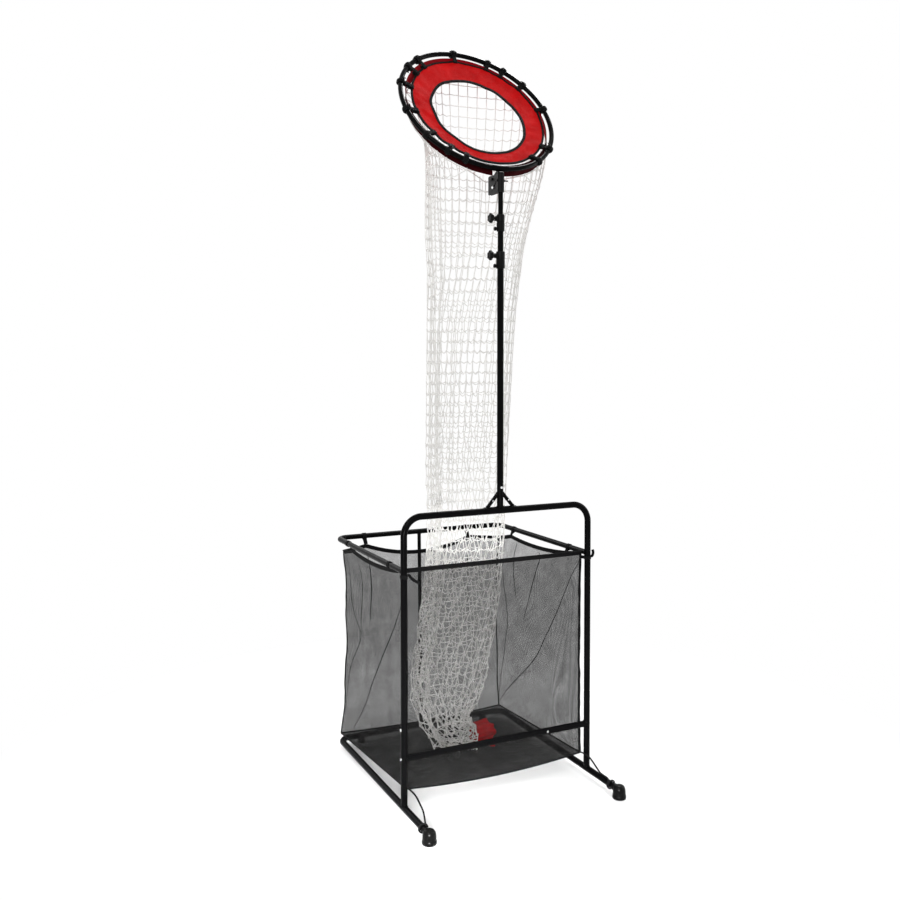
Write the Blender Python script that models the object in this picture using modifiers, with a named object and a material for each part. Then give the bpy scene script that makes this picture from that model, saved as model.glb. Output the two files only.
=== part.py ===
"""Volleyball practice net.

A tilting catching ring with a net sleeve stands on a telescoping mast.
The mast rises from a front frame, and a mesh ball basket hangs behind it.
Metres, +Z up, front towards -Y, origin on the floor under the middle of the object.
"""

import bmesh
import bpy
from math import atan2, cos, hypot, pi, radians, sin
from mathutils import Matrix, Vector

# Clearances, and the sides of round solids and of the bores cut round them
GAP = 0.0003
SLIDE_GAP = 0.0003
HOLE_GAP = 0.0003
COPE_GAP = 0.00055
PLUG_GAP = 0.0006
WELD = 0.00001
TUBE_SIDES = 12
TURNED_SIDES = 16
BORE_SIDES = 18
BOLT_SIDES = 10

# Front frame
FRAME_WIDTH = 0.800
FRAME_HEIGHT = 1.104
FRAME_TUBE = 0.025
FRAME_WALL = 0.0012
FRAME_BEND = 0.070
LEG_TOP = 0.345
LEG_PLUG = 0.070
SWAGE_TAPER = 0.005
LEG_SCREW_HEIGHT = 0.322
CROSSBAR_HEIGHT = 0.2135

# Base and feet
RAIL_HEIGHT = 0.031
FOOT_REACH = 0.223
BASE_DEPTH = 0.715
BASE_BEND = 0.045
FOOT_RADIUS = 0.0265
FOOT_HEIGHT = 0.052
PAD_RADIUS = 0.016
PAD_EDGE = 0.002
PAD_SPACING = 0.600

# Basket hoop and rear post
HOOP_TUBE = 0.022
HOOP_HEIGHT = 0.9056
HOOP_DEPTH = 0.738
HOOP_BEND = 0.045
POST_TUBE = 0.016
POST_OFFSET = -0.012

# Mast
MAST_LOWER_TUBE = 0.025
MAST_MIDDLE_TUBE = 0.022
MAST_UPPER_TUBE = 0.019
MAST_WALL = 0.0012
SOCKET_HEIGHT = 0.088
SOCKET_PLUG = 0.055
SOCKET_SCREW_DROP = 0.012
SOCKET_FLOOR = 0.004
SADDLE_LENGTH = 0.136
SADDLE_WALL = 0.0025
SADDLE_SKIRT = 0.004
STRUT_RADIUS = 0.007
STRUT_SPREAD = 0.056
STRUT_RISE = 0.056
LOWER_TUBE_TOP = 2.055
MIDDLE_TUBE_LENGTH = 0.620
UPPER_TUBE_LENGTH = 0.560

# Clamp collars, knobs and pull pins
COLLAR_HEIGHT = 0.064
COLLAR_SEAT = 0.029
COLLAR_WALL = 0.0040
COLLAR_CHAMFER = 0.0015
MIDDLE_SHOWN = 0.076
UPPER_SHOWN = 0.084
KNOB_RADIUS = 0.019
KNOB_THICKNESS = 0.014
KNOB_LOBES = 6
KNOB_DROP = 0.016
KNOB_BOSS_RADIUS = 0.0065
KNOB_BOSS_LENGTH = 0.0100
KNOB_NECK = 0.0090
KNOB_HUB_RADIUS = 0.0062
KNOB_LOBE = 0.09
KNOB_SCREW_RADIUS = 0.003
PIN_RISE = 0.009
PIN_BOSS_RADIUS = 0.0055
PIN_BOSS_LENGTH = 0.0030
PIN_HEAD_RADIUS = 0.0075
PIN_HEAD_LENGTH = 0.0085
PIN_RADIUS = 0.0025
PIN_HEAD_GAP = 0.0005

# Tilt bracket at the mast's top
SLEEVE_WALL = 0.0037
SLEEVE_EDGE = 0.001
SLEEVE_TOP_DROP = 0.002
SLEEVE_HEIGHT = 0.074
CHEEK_GAP = 0.0066
CHEEK_THICKNESS = 0.003
CHEEK_DEPTH = 0.088
CHEEK_CORNER = 0.006
PIVOT_BACK = 0.056
PIVOT_DROP = 0.016
PIVOT_BOLT_RADIUS = 0.003
LOCK_RADIUS = 0.034
LOCK_ANGLE = -102.0
TILT_TRAVEL = 55.0
SLEEVE_BOLT_DROP = 0.030
SLEEVE_BOLT_RADIUS = 0.0025
SLEEVE_BOLT_HEAD = 0.0045
SLEEVE_BOLT_TIP = 0.014
BOLT_HEAD_RADIUS = 0.0060
BOLT_HEAD_HEIGHT = 0.004
BOLT_TIP = 0.002
LUG_ROOT_RADIUS = 0.0075
LUG_PIVOT_RADIUS = 0.010
LUG_LOCK_RADIUS = 0.007

# Ring and target
RING_RADIUS = 0.322
RING_TUBE = 0.019
RING_WALL = 0.0012
RING_RISE = 55.2
RING_FACETS = 36
RING_SPLIT = 0.15
RING_ABOVE_SLEEVE = 0.016
RING_FOOT_BACK = 0.005
FERRULE_LENGTH = 0.070
FERRULE_WALL = 0.0018
TARGET_OUTER = 0.287
TARGET_INNER = 0.200
HOLE_OFFSET = (-0.008, -0.020)
TARGET_THICKNESS = 0.002
TARGET_STEPS = 36
PIPING_RADIUS = 0.003
PIPING_SIDES = 4
STRAP_WIDTH = 0.016
STRAP_THICKNESS = 0.002
STRAP_SIDES = 8
STRAP_ANGLES = (9, 35, 53, 66, 94, 128, 141, 161, 189, 214, 232, 245, 306, 325)
COLLAR_BAND_RADIUS = 0.297
COLLAR_BAND_DROP = 0.042
COLLAR_BAND_THICKNESS = 0.002
COLLAR_BAND_SLIT = 9.0
COLLAR_BAND_STEPS = 32

# Net sleeve and its cuff: centre, half width, half depth and turn of each ring of the net
NET_COLUMNS = 16
NET_ROWS = 12
NET_CORD = 0.006
NET_FRONT_CLEAR = 0.020
NET_COURSE = (
    (0.000, 0.200, 2.120, 0.205, 0.118, 0),
    (-0.005, 0.225, 1.800, 0.178, 0.125, 0),
    (-0.010, 0.245, 1.300, 0.160, 0.130, 0),
    (-0.010, 0.265, 0.930, 0.150, 0.125, 0),
    (-0.030, 0.295, 0.600, 0.150, 0.120, 0),
    (-0.070, 0.315, 0.300, 0.130, 0.110, 0),
    (-0.055, 0.308, 0.170, 0.085, 0.080, 45),
    (0.035, 0.300, 0.122, 0.046, 0.046, 90),
)
CUFF_LENGTH = 0.078
CUFF_RADIUS = 0.050
CUFF_WALL = 0.002

# Mesh basket: hem heights are drops below the hoop's middle, floor heights are above the rail's
BASKET_WIDTH = 0.766
BASKET_FRONT = 0.022
BASKET_HOOP_CLEARANCE = 0.015
BASKET_BAR_CLEARANCE = 0.003
BASKET_SKIN = 0.002
BASKET_CUTS = 7
BASKET_WAIST = 0.014
BASKET_FLARE = 0.010
FOLD_DEPTH = 0.005
FRONT_HEM_DROP = 0.001
CORNER_HEM_DROP = 0.055
REAR_STRAP_DROP = 0.038
SIDE_STRAP_DROPS = (0.022, 0.030)
REAR_SAG = 0.047
SIDE_SAG = 0.014
SHORT_SAG = 0.001
FRONT_FLOOR_RISE = 0.055
REAR_FLOOR_RISE = 0.019
FLOOR_SAG = 0.020
REAR_TUCK = 0.018
HEM_RADIUS = 0.0035
REAR_STRAPS = (-0.277, 0.222)
SIDE_STRAPS = (0.135, 0.595)
HANGER_WIDTH = 0.018
HANGER_THICKNESS = 0.0016
TIE_WIDTH = 0.014
TIE_ARM_ANGLE = 40
TIE_ARM_REACH = 0.012
TIE_TAIL_ROOT = 0.0035
LEFT_TIE_TAIL = (0.039, -0.010, -0.032)
RIGHT_TIE_TAIL = (0.005, -0.005, 0.030)
TIE_CORD_RADIUS = 0.0032
TIE_CORD_REACH = 0.165
TIE_CORD_TURNS = 1.15
TIE_CORD_PITCH = 0.0074
LEFT_LEAD = (
    (0.379, 0.016, 0.094),
    (0.381, -0.020, 0.099),
    (0.386, -0.075, 0.103),
    (0.390, -0.120, 0.094),
    (0.392, -0.155, 0.080),
)
RIGHT_LEAD = (
    (0.379, 0.016, 0.094),
    (0.381, -0.015, 0.097),
    (0.385, -0.050, 0.090),
    (0.396, -0.078, 0.062),
    (0.400, -0.100, 0.0475),
    (0.398, -0.150, 0.0475),
)

# Screws
SCREW_HEAD_RADIUS = 0.0050
SCREW_HEAD = 0.0025
SCREW_RADIUS = 0.0025
LONG_SCREW = 0.036
SHORT_SCREW = 0.010

# Places worked out from the sizes above
REAR_REACH = HOOP_DEPTH + HOOP_TUBE / 2 + HANGER_THICKNESS + 2 * GAP
FRONT_REACH = FOOT_REACH + FOOT_RADIUS
FRONT_Y = (FRONT_REACH - REAR_REACH) / 2
HALF_WIDTH = FRAME_WIDTH / 2
TUBE_RADIUS = FRAME_TUBE / 2
BAR_TOP = FRAME_HEIGHT + TUBE_RADIUS
SOCKET_TOP = BAR_TOP + SOCKET_HEIGHT
SOCKET_SCREW_HEIGHT = SOCKET_TOP - SOCKET_SCREW_DROP
LOWER_COLLAR = LOWER_TUBE_TOP - COLLAR_SEAT
UPPER_COLLAR = LOWER_COLLAR + COLLAR_HEIGHT + MIDDLE_SHOWN
SLEEVE_BASE = UPPER_COLLAR + COLLAR_HEIGHT + UPPER_SHOWN
SLEEVE_TOP = SLEEVE_BASE + SLEEVE_HEIGHT
SLEEVE_RADIUS = MAST_UPPER_TUBE / 2 + SLIDE_GAP + SLEEVE_WALL
SLEEVE_BOLT_HEIGHT = SLEEVE_TOP - SLEEVE_BOLT_DROP
HALF_GRIP = CHEEK_GAP / 2 + CHEEK_THICKNESS
TIE_HEIGHT = HOOP_HEIGHT - HOOP_TUBE / 2 - TIE_WIDTH / 2 - 2 * GAP
RIM_DEPTH = HOOP_DEPTH - HOOP_TUBE / 2 - BASKET_HOOP_CLEARANCE - BASKET_FRONT
FLOOR_DEPTH = BASE_DEPTH - BASKET_BAR_CLEARANCE - BASKET_FRONT
HEM_RISE = HEM_RADIUS + GAP * 2
RISE = radians(RING_RISE)
ACROSS = Vector((1, 0, 0))
UP_RING = Vector((0, cos(RISE), sin(RISE)))
OUT_OF_RING = Vector((0, -sin(RISE), cos(RISE)))


def at(x, y, z):
    """A point whose y is counted from the plane of the front frame."""
    return Vector((x, FRONT_Y + y, z))


PIVOT = at(0, PIVOT_BACK, SLEEVE_TOP - PIVOT_DROP)
RING_FOOT = at(0, RING_FOOT_BACK, SLEEVE_TOP + RING_ABOVE_SLEEVE)
RING_CENTRE = RING_FOOT + RING_RADIUS * UP_RING


def ring_point(angle, radius, lift=0.0):
    """A point by its angle in degrees, its radius and its height in front of the ring's plane."""
    turn = radians(angle)
    return RING_CENTRE + radius * (cos(turn) * ACROSS + sin(turn) * UP_RING) + lift * OUT_OF_RING


def ring_tangent(angle):
    turn = radians(angle)
    return cos(turn) * UP_RING - sin(turn) * ACROSS


# Scene and materials

def clear_scene():
    for thing in list(bpy.data.objects):
        bpy.data.objects.remove(thing, do_unlink=True)


def new_collection(name):
    collection = bpy.data.collections.new(name)
    bpy.context.scene.collection.children.link(collection)
    return collection


clear_scene()
PARTS = new_collection("volleyball practice net")
CUTTERS = new_collection("cutters")


def material(name, colour, roughness, metallic=0.0):
    made = bpy.data.materials.get(name)
    if made is None:
        made = bpy.data.materials.new(name)
        made.use_nodes = True
        shader = made.node_tree.nodes["Principled BSDF"]
        shader.inputs["Base Color"].default_value = (*colour, 1)
        shader.inputs["Roughness"].default_value = roughness
        shader.inputs["Metallic"].default_value = metallic
        made.diffuse_color = (*colour, 1)
    return made


def black_paint():
    return material("black powder coat", (0.012, 0.012, 0.013), 0.35)


def bracket_steel():
    return material("dark steel plate", (0.060, 0.060, 0.062), 0.45, 0.6)


def zinc():
    return material("zinc plated steel", (0.75, 0.76, 0.77), 0.30, 1.0)


def black_plastic():
    return material("black plastic", (0.015, 0.015, 0.015), 0.40)


def black_rubber():
    return material("black rubber", (0.010, 0.010, 0.010), 0.55)


def black_webbing():
    return material("black webbing", (0.010, 0.010, 0.011), 0.85)


def black_mesh():
    return material("black mesh fabric", (0.020, 0.020, 0.020), 0.90)


def red_fabric():
    return material("red fabric", (0.610, 0.014, 0.019), 0.75)


def dark_red_fabric():
    return material("dark red fabric", (0.200, 0.006, 0.014), 0.80)


def white_cord():
    return material("white net cord", (0.830, 0.820, 0.790), 0.80)


# Building tools

def add(name, data, surface, collection=None):
    made = bpy.data.objects.new(name, data)
    (collection or PARTS).objects.link(made)
    if surface:
        data.materials.append(surface)
    if collection is CUTTERS:
        made.hide_render = True
        made.display_type = "WIRE"
    return made


def smooth(mesh, angle=35):
    mesh.shade_smooth()
    mesh.set_sharp_from_angle(angle=radians(angle))


def finish(name, bm, surface, collection=None):
    bmesh.ops.recalc_face_normals(bm, faces=bm.faces)
    mesh = bpy.data.meshes.new(name)
    bm.to_mesh(mesh)
    bm.free()
    smooth(mesh)
    return add(name, mesh, surface, collection)


def turned(axis, centre):
    """The matrix that takes +Z to an axis and the origin to a centre."""
    return Matrix.Translation(centre) @ Vector(axis).to_track_quat("Z", "Y").to_matrix().to_4x4()


def rod(name, start, end, radius, surface=None, collection=None, sides=TUBE_SIDES):
    """A plain solid cylinder between two points."""
    run = end - start
    bm = bmesh.new()
    bmesh.ops.create_cone(
        bm, cap_ends=True, segments=sides, radius1=radius, radius2=radius, depth=run.length
    )
    bmesh.ops.transform(bm, matrix=turned(run, (start + end) / 2), verts=bm.verts)
    return finish(name, bm, surface, collection)


def bar(name, start, end, side, width, thickness, surface=None, collection=None):
    """A flat bar between two points, its width along a side direction."""
    run = end - start
    along = run.normalized()
    across = (side - side.dot(along) * along).normalized()
    bm = bmesh.new()
    bmesh.ops.create_cube(bm, size=1)
    frame = Matrix((across * width, along.cross(across) * thickness, run)).transposed().to_4x4()
    bmesh.ops.transform(bm, matrix=Matrix.Translation((start + end) / 2) @ frame, verts=bm.verts)
    return finish(name, bm, surface, collection)


def lathe(name, profile, surface, axis=(0, 0, 1), centre=(0, 0, 0), steps=TUBE_SIDES,
          closed=True, collection=None):
    """A turned shape from (radius, height) points that run down its outer side."""
    mesh = bpy.data.meshes.new(name)
    edges = [(i, i + 1) for i in range(len(profile) - 1)]
    if closed:
        edges.append((len(profile) - 1, 0))
    mesh.from_pydata([(r, 0, z) for r, z in profile], edges, [])
    made = add(name, mesh, surface, collection)
    made.matrix_world = turned(axis, Vector(centre))
    screw = made.modifiers.new("turn", "SCREW")
    screw.steps = steps
    screw.render_steps = steps
    screw.use_merge_vertices = True
    screw.merge_threshold = WELD
    screw.use_smooth_shade = False
    return made


def tube(name, points, outer, wall, surface, collection=None, fineness=4, radii=None):
    """A bent tube with open ends, or a solid rod where the wall is None."""
    curve = bpy.data.curves.new(name, "CURVE")
    curve.dimensions = "3D"
    curve.bevel_depth = outer / 2
    curve.bevel_resolution = fineness
    curve.use_fill_caps = wall is None
    spline = curve.splines.new("POLY")
    spline.points.add(len(points) - 1)
    for i, point in enumerate(points):
        spline.points[i].co = (*point, 1)
        spline.points[i].radius = radii[i] if radii else 1
    made = add(name, curve, surface, collection)
    if wall is not None:
        shell = made.modifiers.new("wall", "SOLIDIFY")
        shell.thickness = wall
        shell.offset = -1
    return made


def meshed(made):
    """The same object with its curve and modifiers turned into a welded mesh."""
    bpy.context.view_layer.update()
    graph = bpy.context.evaluated_depsgraph_get()
    mesh = bpy.data.meshes.new_from_object(made.evaluated_get(graph))
    bm = bmesh.new()
    bm.from_mesh(mesh)
    bmesh.ops.remove_doubles(bm, verts=bm.verts, dist=WELD)
    bmesh.ops.recalc_face_normals(bm, faces=bm.faces)
    bm.to_mesh(mesh)
    bm.free()
    smooth(mesh)
    name = made.name
    collection = made.users_collection[0]
    place = made.matrix_world.copy()
    bpy.data.objects.remove(made, do_unlink=True)
    again = bpy.data.objects.new(name, mesh)
    collection.objects.link(again)
    again.matrix_world = place
    if collection is CUTTERS:
        again.hide_render = True
        again.display_type = "WIRE"
    return again


def join(made, others, operation="UNION"):
    """Adds or removes the solids in a list, one Boolean for each."""
    for other in others:
        step = made.modifiers.new(operation.lower(), "BOOLEAN")
        step.operation = operation
        step.object = other
    return made


def drill(made, holes):
    """Round holes given as (start, end, radius)."""
    bits = [
        rod(made.name + "_bit", start, end, radius, collection=CUTTERS)
        for start, end, radius in holes
    ]
    return join(made, bits, "DIFFERENCE")


def flat_frame(first, second, centre):
    """The matrix of a flat drawing: its two directions in the world and its origin."""
    frame = Matrix((first, second, first.cross(second))).transposed().to_4x4()
    return Matrix.Translation(centre) @ frame


def plate(name, loops, thickness, frame, surface=None, collection=None):
    """A flat plate drawn by closed loops of points, the inner ones as holes."""
    curve = bpy.data.curves.new(name, "CURVE")
    curve.dimensions = "2D"
    curve.fill_mode = "BOTH"
    curve.extrude = thickness / 2
    for loop in loops:
        spline = curve.splines.new("POLY")
        spline.points.add(len(loop) - 1)
        spline.use_cyclic_u = True
        for point, (a, b) in zip(spline.points, loop):
            point.co = (a, b, 0, 1)
    made = add(name, curve, surface, collection)
    made.matrix_world = frame
    return meshed(made)


def upright_plate(name, loops, thickness, across, collection):
    """A plate in the upright plane x = across, drawn in y and z."""
    frame = flat_frame(Vector((0, 1, 0)), Vector((0, 0, 1)), Vector((across, 0, 0)))
    return plate(name, loops, thickness, frame, None, collection)


def circle(centre, radius, count=TUBE_SIDES):
    return [
        (centre[0] + radius * cos(2 * pi * i / count), centre[1] + radius * sin(2 * pi * i / count))
        for i in range(count)
    ]


def hull(points):
    """The convex outline round flat points, counter-clockwise."""
    points = sorted(points)

    def half(run):
        kept = []
        for p in run:
            while len(kept) > 1:
                a, b = kept[-2], kept[-1]
                if (b[0] - a[0]) * (p[1] - a[1]) - (b[1] - a[1]) * (p[0] - a[0]) > 1e-9:
                    break
                kept.pop()
            kept.append(p)
        return kept[:-1]

    return half(points) + half(points[::-1])


def arc_slot(centre, radius, half_width, first, last, steps=8):
    """The outline of a curved slot with round ends, angles in degrees."""
    def arc(middle, size, start, stop, count):
        turns = [radians(start + (stop - start) * i / count) for i in range(count + 1)]
        return [(middle[0] + size * cos(t), middle[1] + size * sin(t)) for t in turns]

    def end(angle):
        return arc(centre, radius, angle, angle, 1)[0]

    outer = arc(centre, radius + half_width, first, last, steps)
    inner = arc(centre, radius - half_width, last, first, steps)
    far = arc(end(last), half_width, last, last - 180, 6)[1:-1]
    near = arc(end(first), half_width, first + 180, first, 6)[1:-1]
    return outer + far + inner + near


def bent(corners, bend, steps=4):
    """A path through corner points, each inner corner rounded by a bend radius."""
    path = [corners[0]]
    for before, corner, after in zip(corners, corners[1:], corners[2:]):
        back = (before - corner).normalized()
        ahead = (after - corner).normalized()
        half = back.angle(ahead) / 2
        sweep = pi - 2 * half
        middle = corner + (back + ahead).normalized() * bend / sin(half)
        start = corner + back * bend * cos(half) / sin(half) - middle
        stop = corner + ahead * bend * cos(half) / sin(half) - middle
        for i in range(steps + 1):
            turn = sweep * i / steps
            path.append(middle + (start * sin(sweep - turn) + stop * sin(turn)) / sin(sweep))
    path.append(corners[-1])
    return path


def hang(axis_name, point, pieces):
    """An empty on a joint's axis that carries the pieces which move with it."""
    empty = bpy.data.objects.new(axis_name, None)
    empty.location = point
    PARTS.objects.link(empty)
    for piece in pieces:
        piece.parent = empty
        piece.matrix_parent_inverse = Matrix.Translation(point).inverted()


def screw(name, seat, inward, length):
    """A pan head screw seated on a point, its shank running inward."""
    high = SCREW_HEAD
    profile = [
        (0, high), (SCREW_HEAD_RADIUS * 0.7, high), (SCREW_HEAD_RADIUS, high * 0.4),
        (SCREW_HEAD_RADIUS, 0), (SCREW_RADIUS, 0), (SCREW_RADIUS, -length), (0, -length),
    ]
    outward = -Vector(inward)
    return lathe(name, profile, zinc(), outward, seat + outward * GAP, BOLT_SIDES, False)


# Front frame

def front_frame():
    """The inverted U, its legs swaged to plug into the lower legs."""
    plug = (TUBE_RADIUS - FRAME_WALL - PLUG_GAP) / TUBE_RADIUS
    foot = LEG_TOP - LEG_PLUG
    shoulder = LEG_TOP + GAP

    def leg(side):
        return [at(side * HALF_WIDTH, 0, z) for z in (foot, shoulder, shoulder + SWAGE_TAPER)]

    left, right = leg(-1), leg(1)
    corners = [left[2], at(-HALF_WIDTH, 0, FRAME_HEIGHT), at(HALF_WIDTH, 0, FRAME_HEIGHT), right[2]]
    arch = bent(corners, FRAME_BEND)
    points = left[:2] + arch + right[1::-1]
    radii = [plug] * 2 + [1] * len(arch) + [plug] * 2
    frame = meshed(tube("front_frame", points, FRAME_TUBE, FRAME_WALL, black_paint(), radii=radii))
    holes = []
    for side in (-1, 1):
        far = at(side * (HALF_WIDTH + FRAME_TUBE), 0, LEG_SCREW_HEIGHT)
        holes.append((far, at(side * HALF_WIDTH, 0, LEG_SCREW_HEIGHT), SCREW_RADIUS + HOLE_GAP))
    return drill(frame, holes)


def cope(made, tubes):
    """Cuts a piece round other tubes given as (start, end, diameter)."""
    cutters = [
        rod(made.name + "_cope", start, end, size / 2 + COPE_GAP, None, CUTTERS, BORE_SIDES)
        for start, end, size in tubes
    ]
    return join(made, cutters, "DIFFERENCE")


def straight_tube(name, start, end, outer, wall, surface, copes=(), holes=()):
    """A straight open tube, coped round other tubes and drilled."""
    run = end - start
    radius = outer / 2
    profile = [(radius, run.length), (radius, 0), (radius - wall, 0), (radius - wall, run.length)]
    made = lathe(name, profile, surface, run, start)
    cope(made, copes)
    return drill(made, holes)


def lower_legs():
    """Short tubes on the rails that take the frame's legs."""
    for side, name in ((-1, "left_lower_leg"), (1, "right_lower_leg")):
        x = side * HALF_WIDTH
        out = side * (HALF_WIDTH + FRAME_TUBE)
        through = side * (HALF_WIDTH - FRAME_TUBE)
        size = SCREW_RADIUS + HOLE_GAP
        straight_tube(
            name, at(x, 0, RAIL_HEIGHT), at(x, 0, LEG_TOP), FRAME_TUBE, FRAME_WALL, black_paint(),
            copes=[(at(x, -FRAME_TUBE, RAIL_HEIGHT), at(x, FRAME_TUBE, RAIL_HEIGHT), FRAME_TUBE)],
            holes=[
                (at(out, 0, LEG_SCREW_HEIGHT), at(x, 0, LEG_SCREW_HEIGHT), size),
                (at(out, 0, CROSSBAR_HEIGHT), at(through, 0, CROSSBAR_HEIGHT), size),
            ],
        )


def upright_copes(z):
    """Both uprights near a height, as tubes to cope round."""
    return [
        (at(s * HALF_WIDTH, 0, z - FRAME_TUBE), at(s * HALF_WIDTH, 0, z + FRAME_TUBE), FRAME_TUBE)
        for s in (-1, 1)
    ]


def crossbar():
    z = CROSSBAR_HEIGHT
    straight_tube(
        "front_crossbar", at(-HALF_WIDTH, 0, z), at(HALF_WIDTH, 0, z), FRAME_TUBE, FRAME_WALL,
        black_paint(), copes=upright_copes(z),
    )


def base_frame():
    """The U of tube on the floor: a rail under each upright and the rear bar."""
    corners = [
        at(-HALF_WIDTH, -FOOT_REACH, RAIL_HEIGHT), at(-HALF_WIDTH, BASE_DEPTH, RAIL_HEIGHT),
        at(HALF_WIDTH, BASE_DEPTH, RAIL_HEIGHT), at(HALF_WIDTH, -FOOT_REACH, RAIL_HEIGHT),
    ]
    tube("base_frame", bent(corners, BASE_BEND), FRAME_TUBE, FRAME_WALL, black_paint())


def hoop_path():
    back = HOOP_DEPTH
    corners = [
        at(-HALF_WIDTH, 0, HOOP_HEIGHT), at(-HALF_WIDTH, back, HOOP_HEIGHT),
        at(HALF_WIDTH, back, HOOP_HEIGHT), at(HALF_WIDTH, 0, HOOP_HEIGHT),
    ]
    return bent(corners, HOOP_BEND)


def basket_hoop():
    """The U of tube that the basket hangs on, coped to the uprights."""
    hoop = meshed(tube("basket_hoop", hoop_path(), HOOP_TUBE, FRAME_WALL, black_paint()))
    cope(hoop, upright_copes(HOOP_HEIGHT))


def rear_post():
    """The thin post from the rear base bar to the hoop."""
    low = at(POST_OFFSET, BASE_DEPTH, RAIL_HEIGHT)
    high = at(POST_OFFSET, HOOP_DEPTH, HOOP_HEIGHT)
    half = ACROSS * POST_TUBE
    straight_tube(
        "rear_post", low, high, POST_TUBE, FRAME_WALL, black_paint(),
        copes=[
            (low - half, low + half, FRAME_TUBE),
            (high - half, high + half, HOOP_TUBE),
        ],
    )


# Feet

def front_feet():
    """Domed rubber feet over the rails' front ends."""
    for side, name in ((-1, "left_front_foot"), (1, "right_front_foot")):
        r, h = FOOT_RADIUS, FOOT_HEIGHT
        profile = [
            (0, h), (r * 0.45, h * 0.975), (r * 0.74, h * 0.87), (r * 0.90, h * 0.68),
            (r * 0.94, h * 0.28), (r, h * 0.22), (r, h * 0.04), (r - h * 0.04, 0), (0, 0),
        ]
        x = side * HALF_WIDTH
        foot = lathe(name, profile, black_rubber(), (0, 0, 1), at(x, -FOOT_REACH, 0), TURNED_SIDES, False)
        socket = rod(
            name + "_socket", at(x, -FOOT_REACH - GAP, RAIL_HEIGHT), at(x, 0, RAIL_HEIGHT),
            TUBE_RADIUS + COPE_GAP, None, CUTTERS, BORE_SIDES,
        )
        join(foot, [socket], "DIFFERENCE")


def rear_feet():
    """Rubber pads under the rear bar, hollowed to seat the tube."""
    r = PAD_RADIUS
    edge = PAD_EDGE
    profile = [(0, RAIL_HEIGHT), (r, RAIL_HEIGHT), (r, edge), (r - edge, 0), (0, 0)]
    half = ACROSS * FRAME_TUBE
    for side, name in ((-1, "left_rear_foot"), (1, "right_rear_foot")):
        x = side * PAD_SPACING / 2
        pad = lathe(name, profile, black_rubber(), (0, 0, 1), at(x, BASE_DEPTH, 0), TUBE_SIDES, False)
        middle = at(x, BASE_DEPTH, RAIL_HEIGHT)
        cope(pad, [(middle - half, middle + half, FRAME_TUBE)])


# Mast

def mast_socket():
    """The stub that takes the mast, on a saddle over the top bar with two struts."""
    half = SADDLE_LENGTH / 2
    saddle_radius = TUBE_RADIUS + GAP + SADDLE_WALL
    middle = at(0, 0, FRAME_HEIGHT)
    socket = rod("mast_socket", middle - ACROSS * half, middle + ACROSS * half, saddle_radius,
                 black_paint())
    stub_radius = MAST_LOWER_TUBE / 2
    stub = rod("socket_stub", middle, at(0, 0, SOCKET_TOP), stub_radius, None, CUTTERS)
    struts = [
        rod(
            "socket_strut", at(s * STRUT_SPREAD, 0, BAR_TOP),
            at(s * stub_radius * 0.6, 0, BAR_TOP + STRUT_RISE), STRUT_RADIUS, None, CUTTERS, 12,
        )
        for s in (-1, 1)
    ]
    join(socket, [stub] + struts)
    cope(socket, [(middle - ACROSS * half * 2, middle + ACROSS * half * 2, FRAME_TUBE)])
    plug_end = SOCKET_TOP - SOCKET_PLUG - SOCKET_FLOOR
    open_side = bar(
        "socket_open_side", at(0, 0, FRAME_HEIGHT - FRAME_TUBE),
        at(0, 0, FRAME_HEIGHT - SADDLE_SKIRT), ACROSS, SADDLE_LENGTH * 2, FRAME_TUBE * 2, None,
        CUTTERS,
    )
    join(socket, [open_side], "DIFFERENCE")
    drill(socket, [
        (at(0, 0, plug_end), at(0, 0, SOCKET_TOP + GAP), stub_radius - MAST_WALL),
        (at(0, -MAST_LOWER_TUBE, SOCKET_SCREW_HEIGHT), at(0, 0, SOCKET_SCREW_HEIGHT),
         SCREW_RADIUS + HOLE_GAP),
    ])


def mast_lower():
    """The fixed lower tube, swaged to plug into the socket."""
    r = MAST_LOWER_TUBE / 2
    inner = r - MAST_WALL
    plug = inner - PLUG_GAP
    shoulder = SOCKET_TOP + GAP
    foot = SOCKET_TOP - SOCKET_PLUG
    profile = [
        (r, LOWER_TUBE_TOP), (r, shoulder + SWAGE_TAPER / 2), (plug, shoulder), (plug, foot),
        (plug - MAST_WALL, foot), (plug - MAST_WALL, shoulder), (inner, shoulder + SWAGE_TAPER),
        (inner, LOWER_TUBE_TOP),
    ]
    made = lathe("mast_lower_tube", profile, black_paint(), centre=at(0, 0, 0))
    pin_z = LOWER_COLLAR + PIN_RISE
    drill(made, [
        (at(-MAST_LOWER_TUBE, 0, pin_z), at(0, 0, pin_z), PIN_RADIUS + HOLE_GAP),
        (at(0, -MAST_LOWER_TUBE, SOCKET_SCREW_HEIGHT), at(0, 0, SOCKET_SCREW_HEIGHT),
         SCREW_RADIUS + HOLE_GAP),
    ])


def inner_tube(name, bottom, length, outer, holes=()):
    """A sliding mast tube, its origin on the mast's axis at its lower end."""
    r = outer / 2
    inner = r - MAST_WALL
    profile = [(r, length), (r, 0), (inner, 0), (inner, length)]
    made = lathe(name, profile, black_paint(), centre=at(0, 0, bottom))
    return drill(made, holes)


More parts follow.
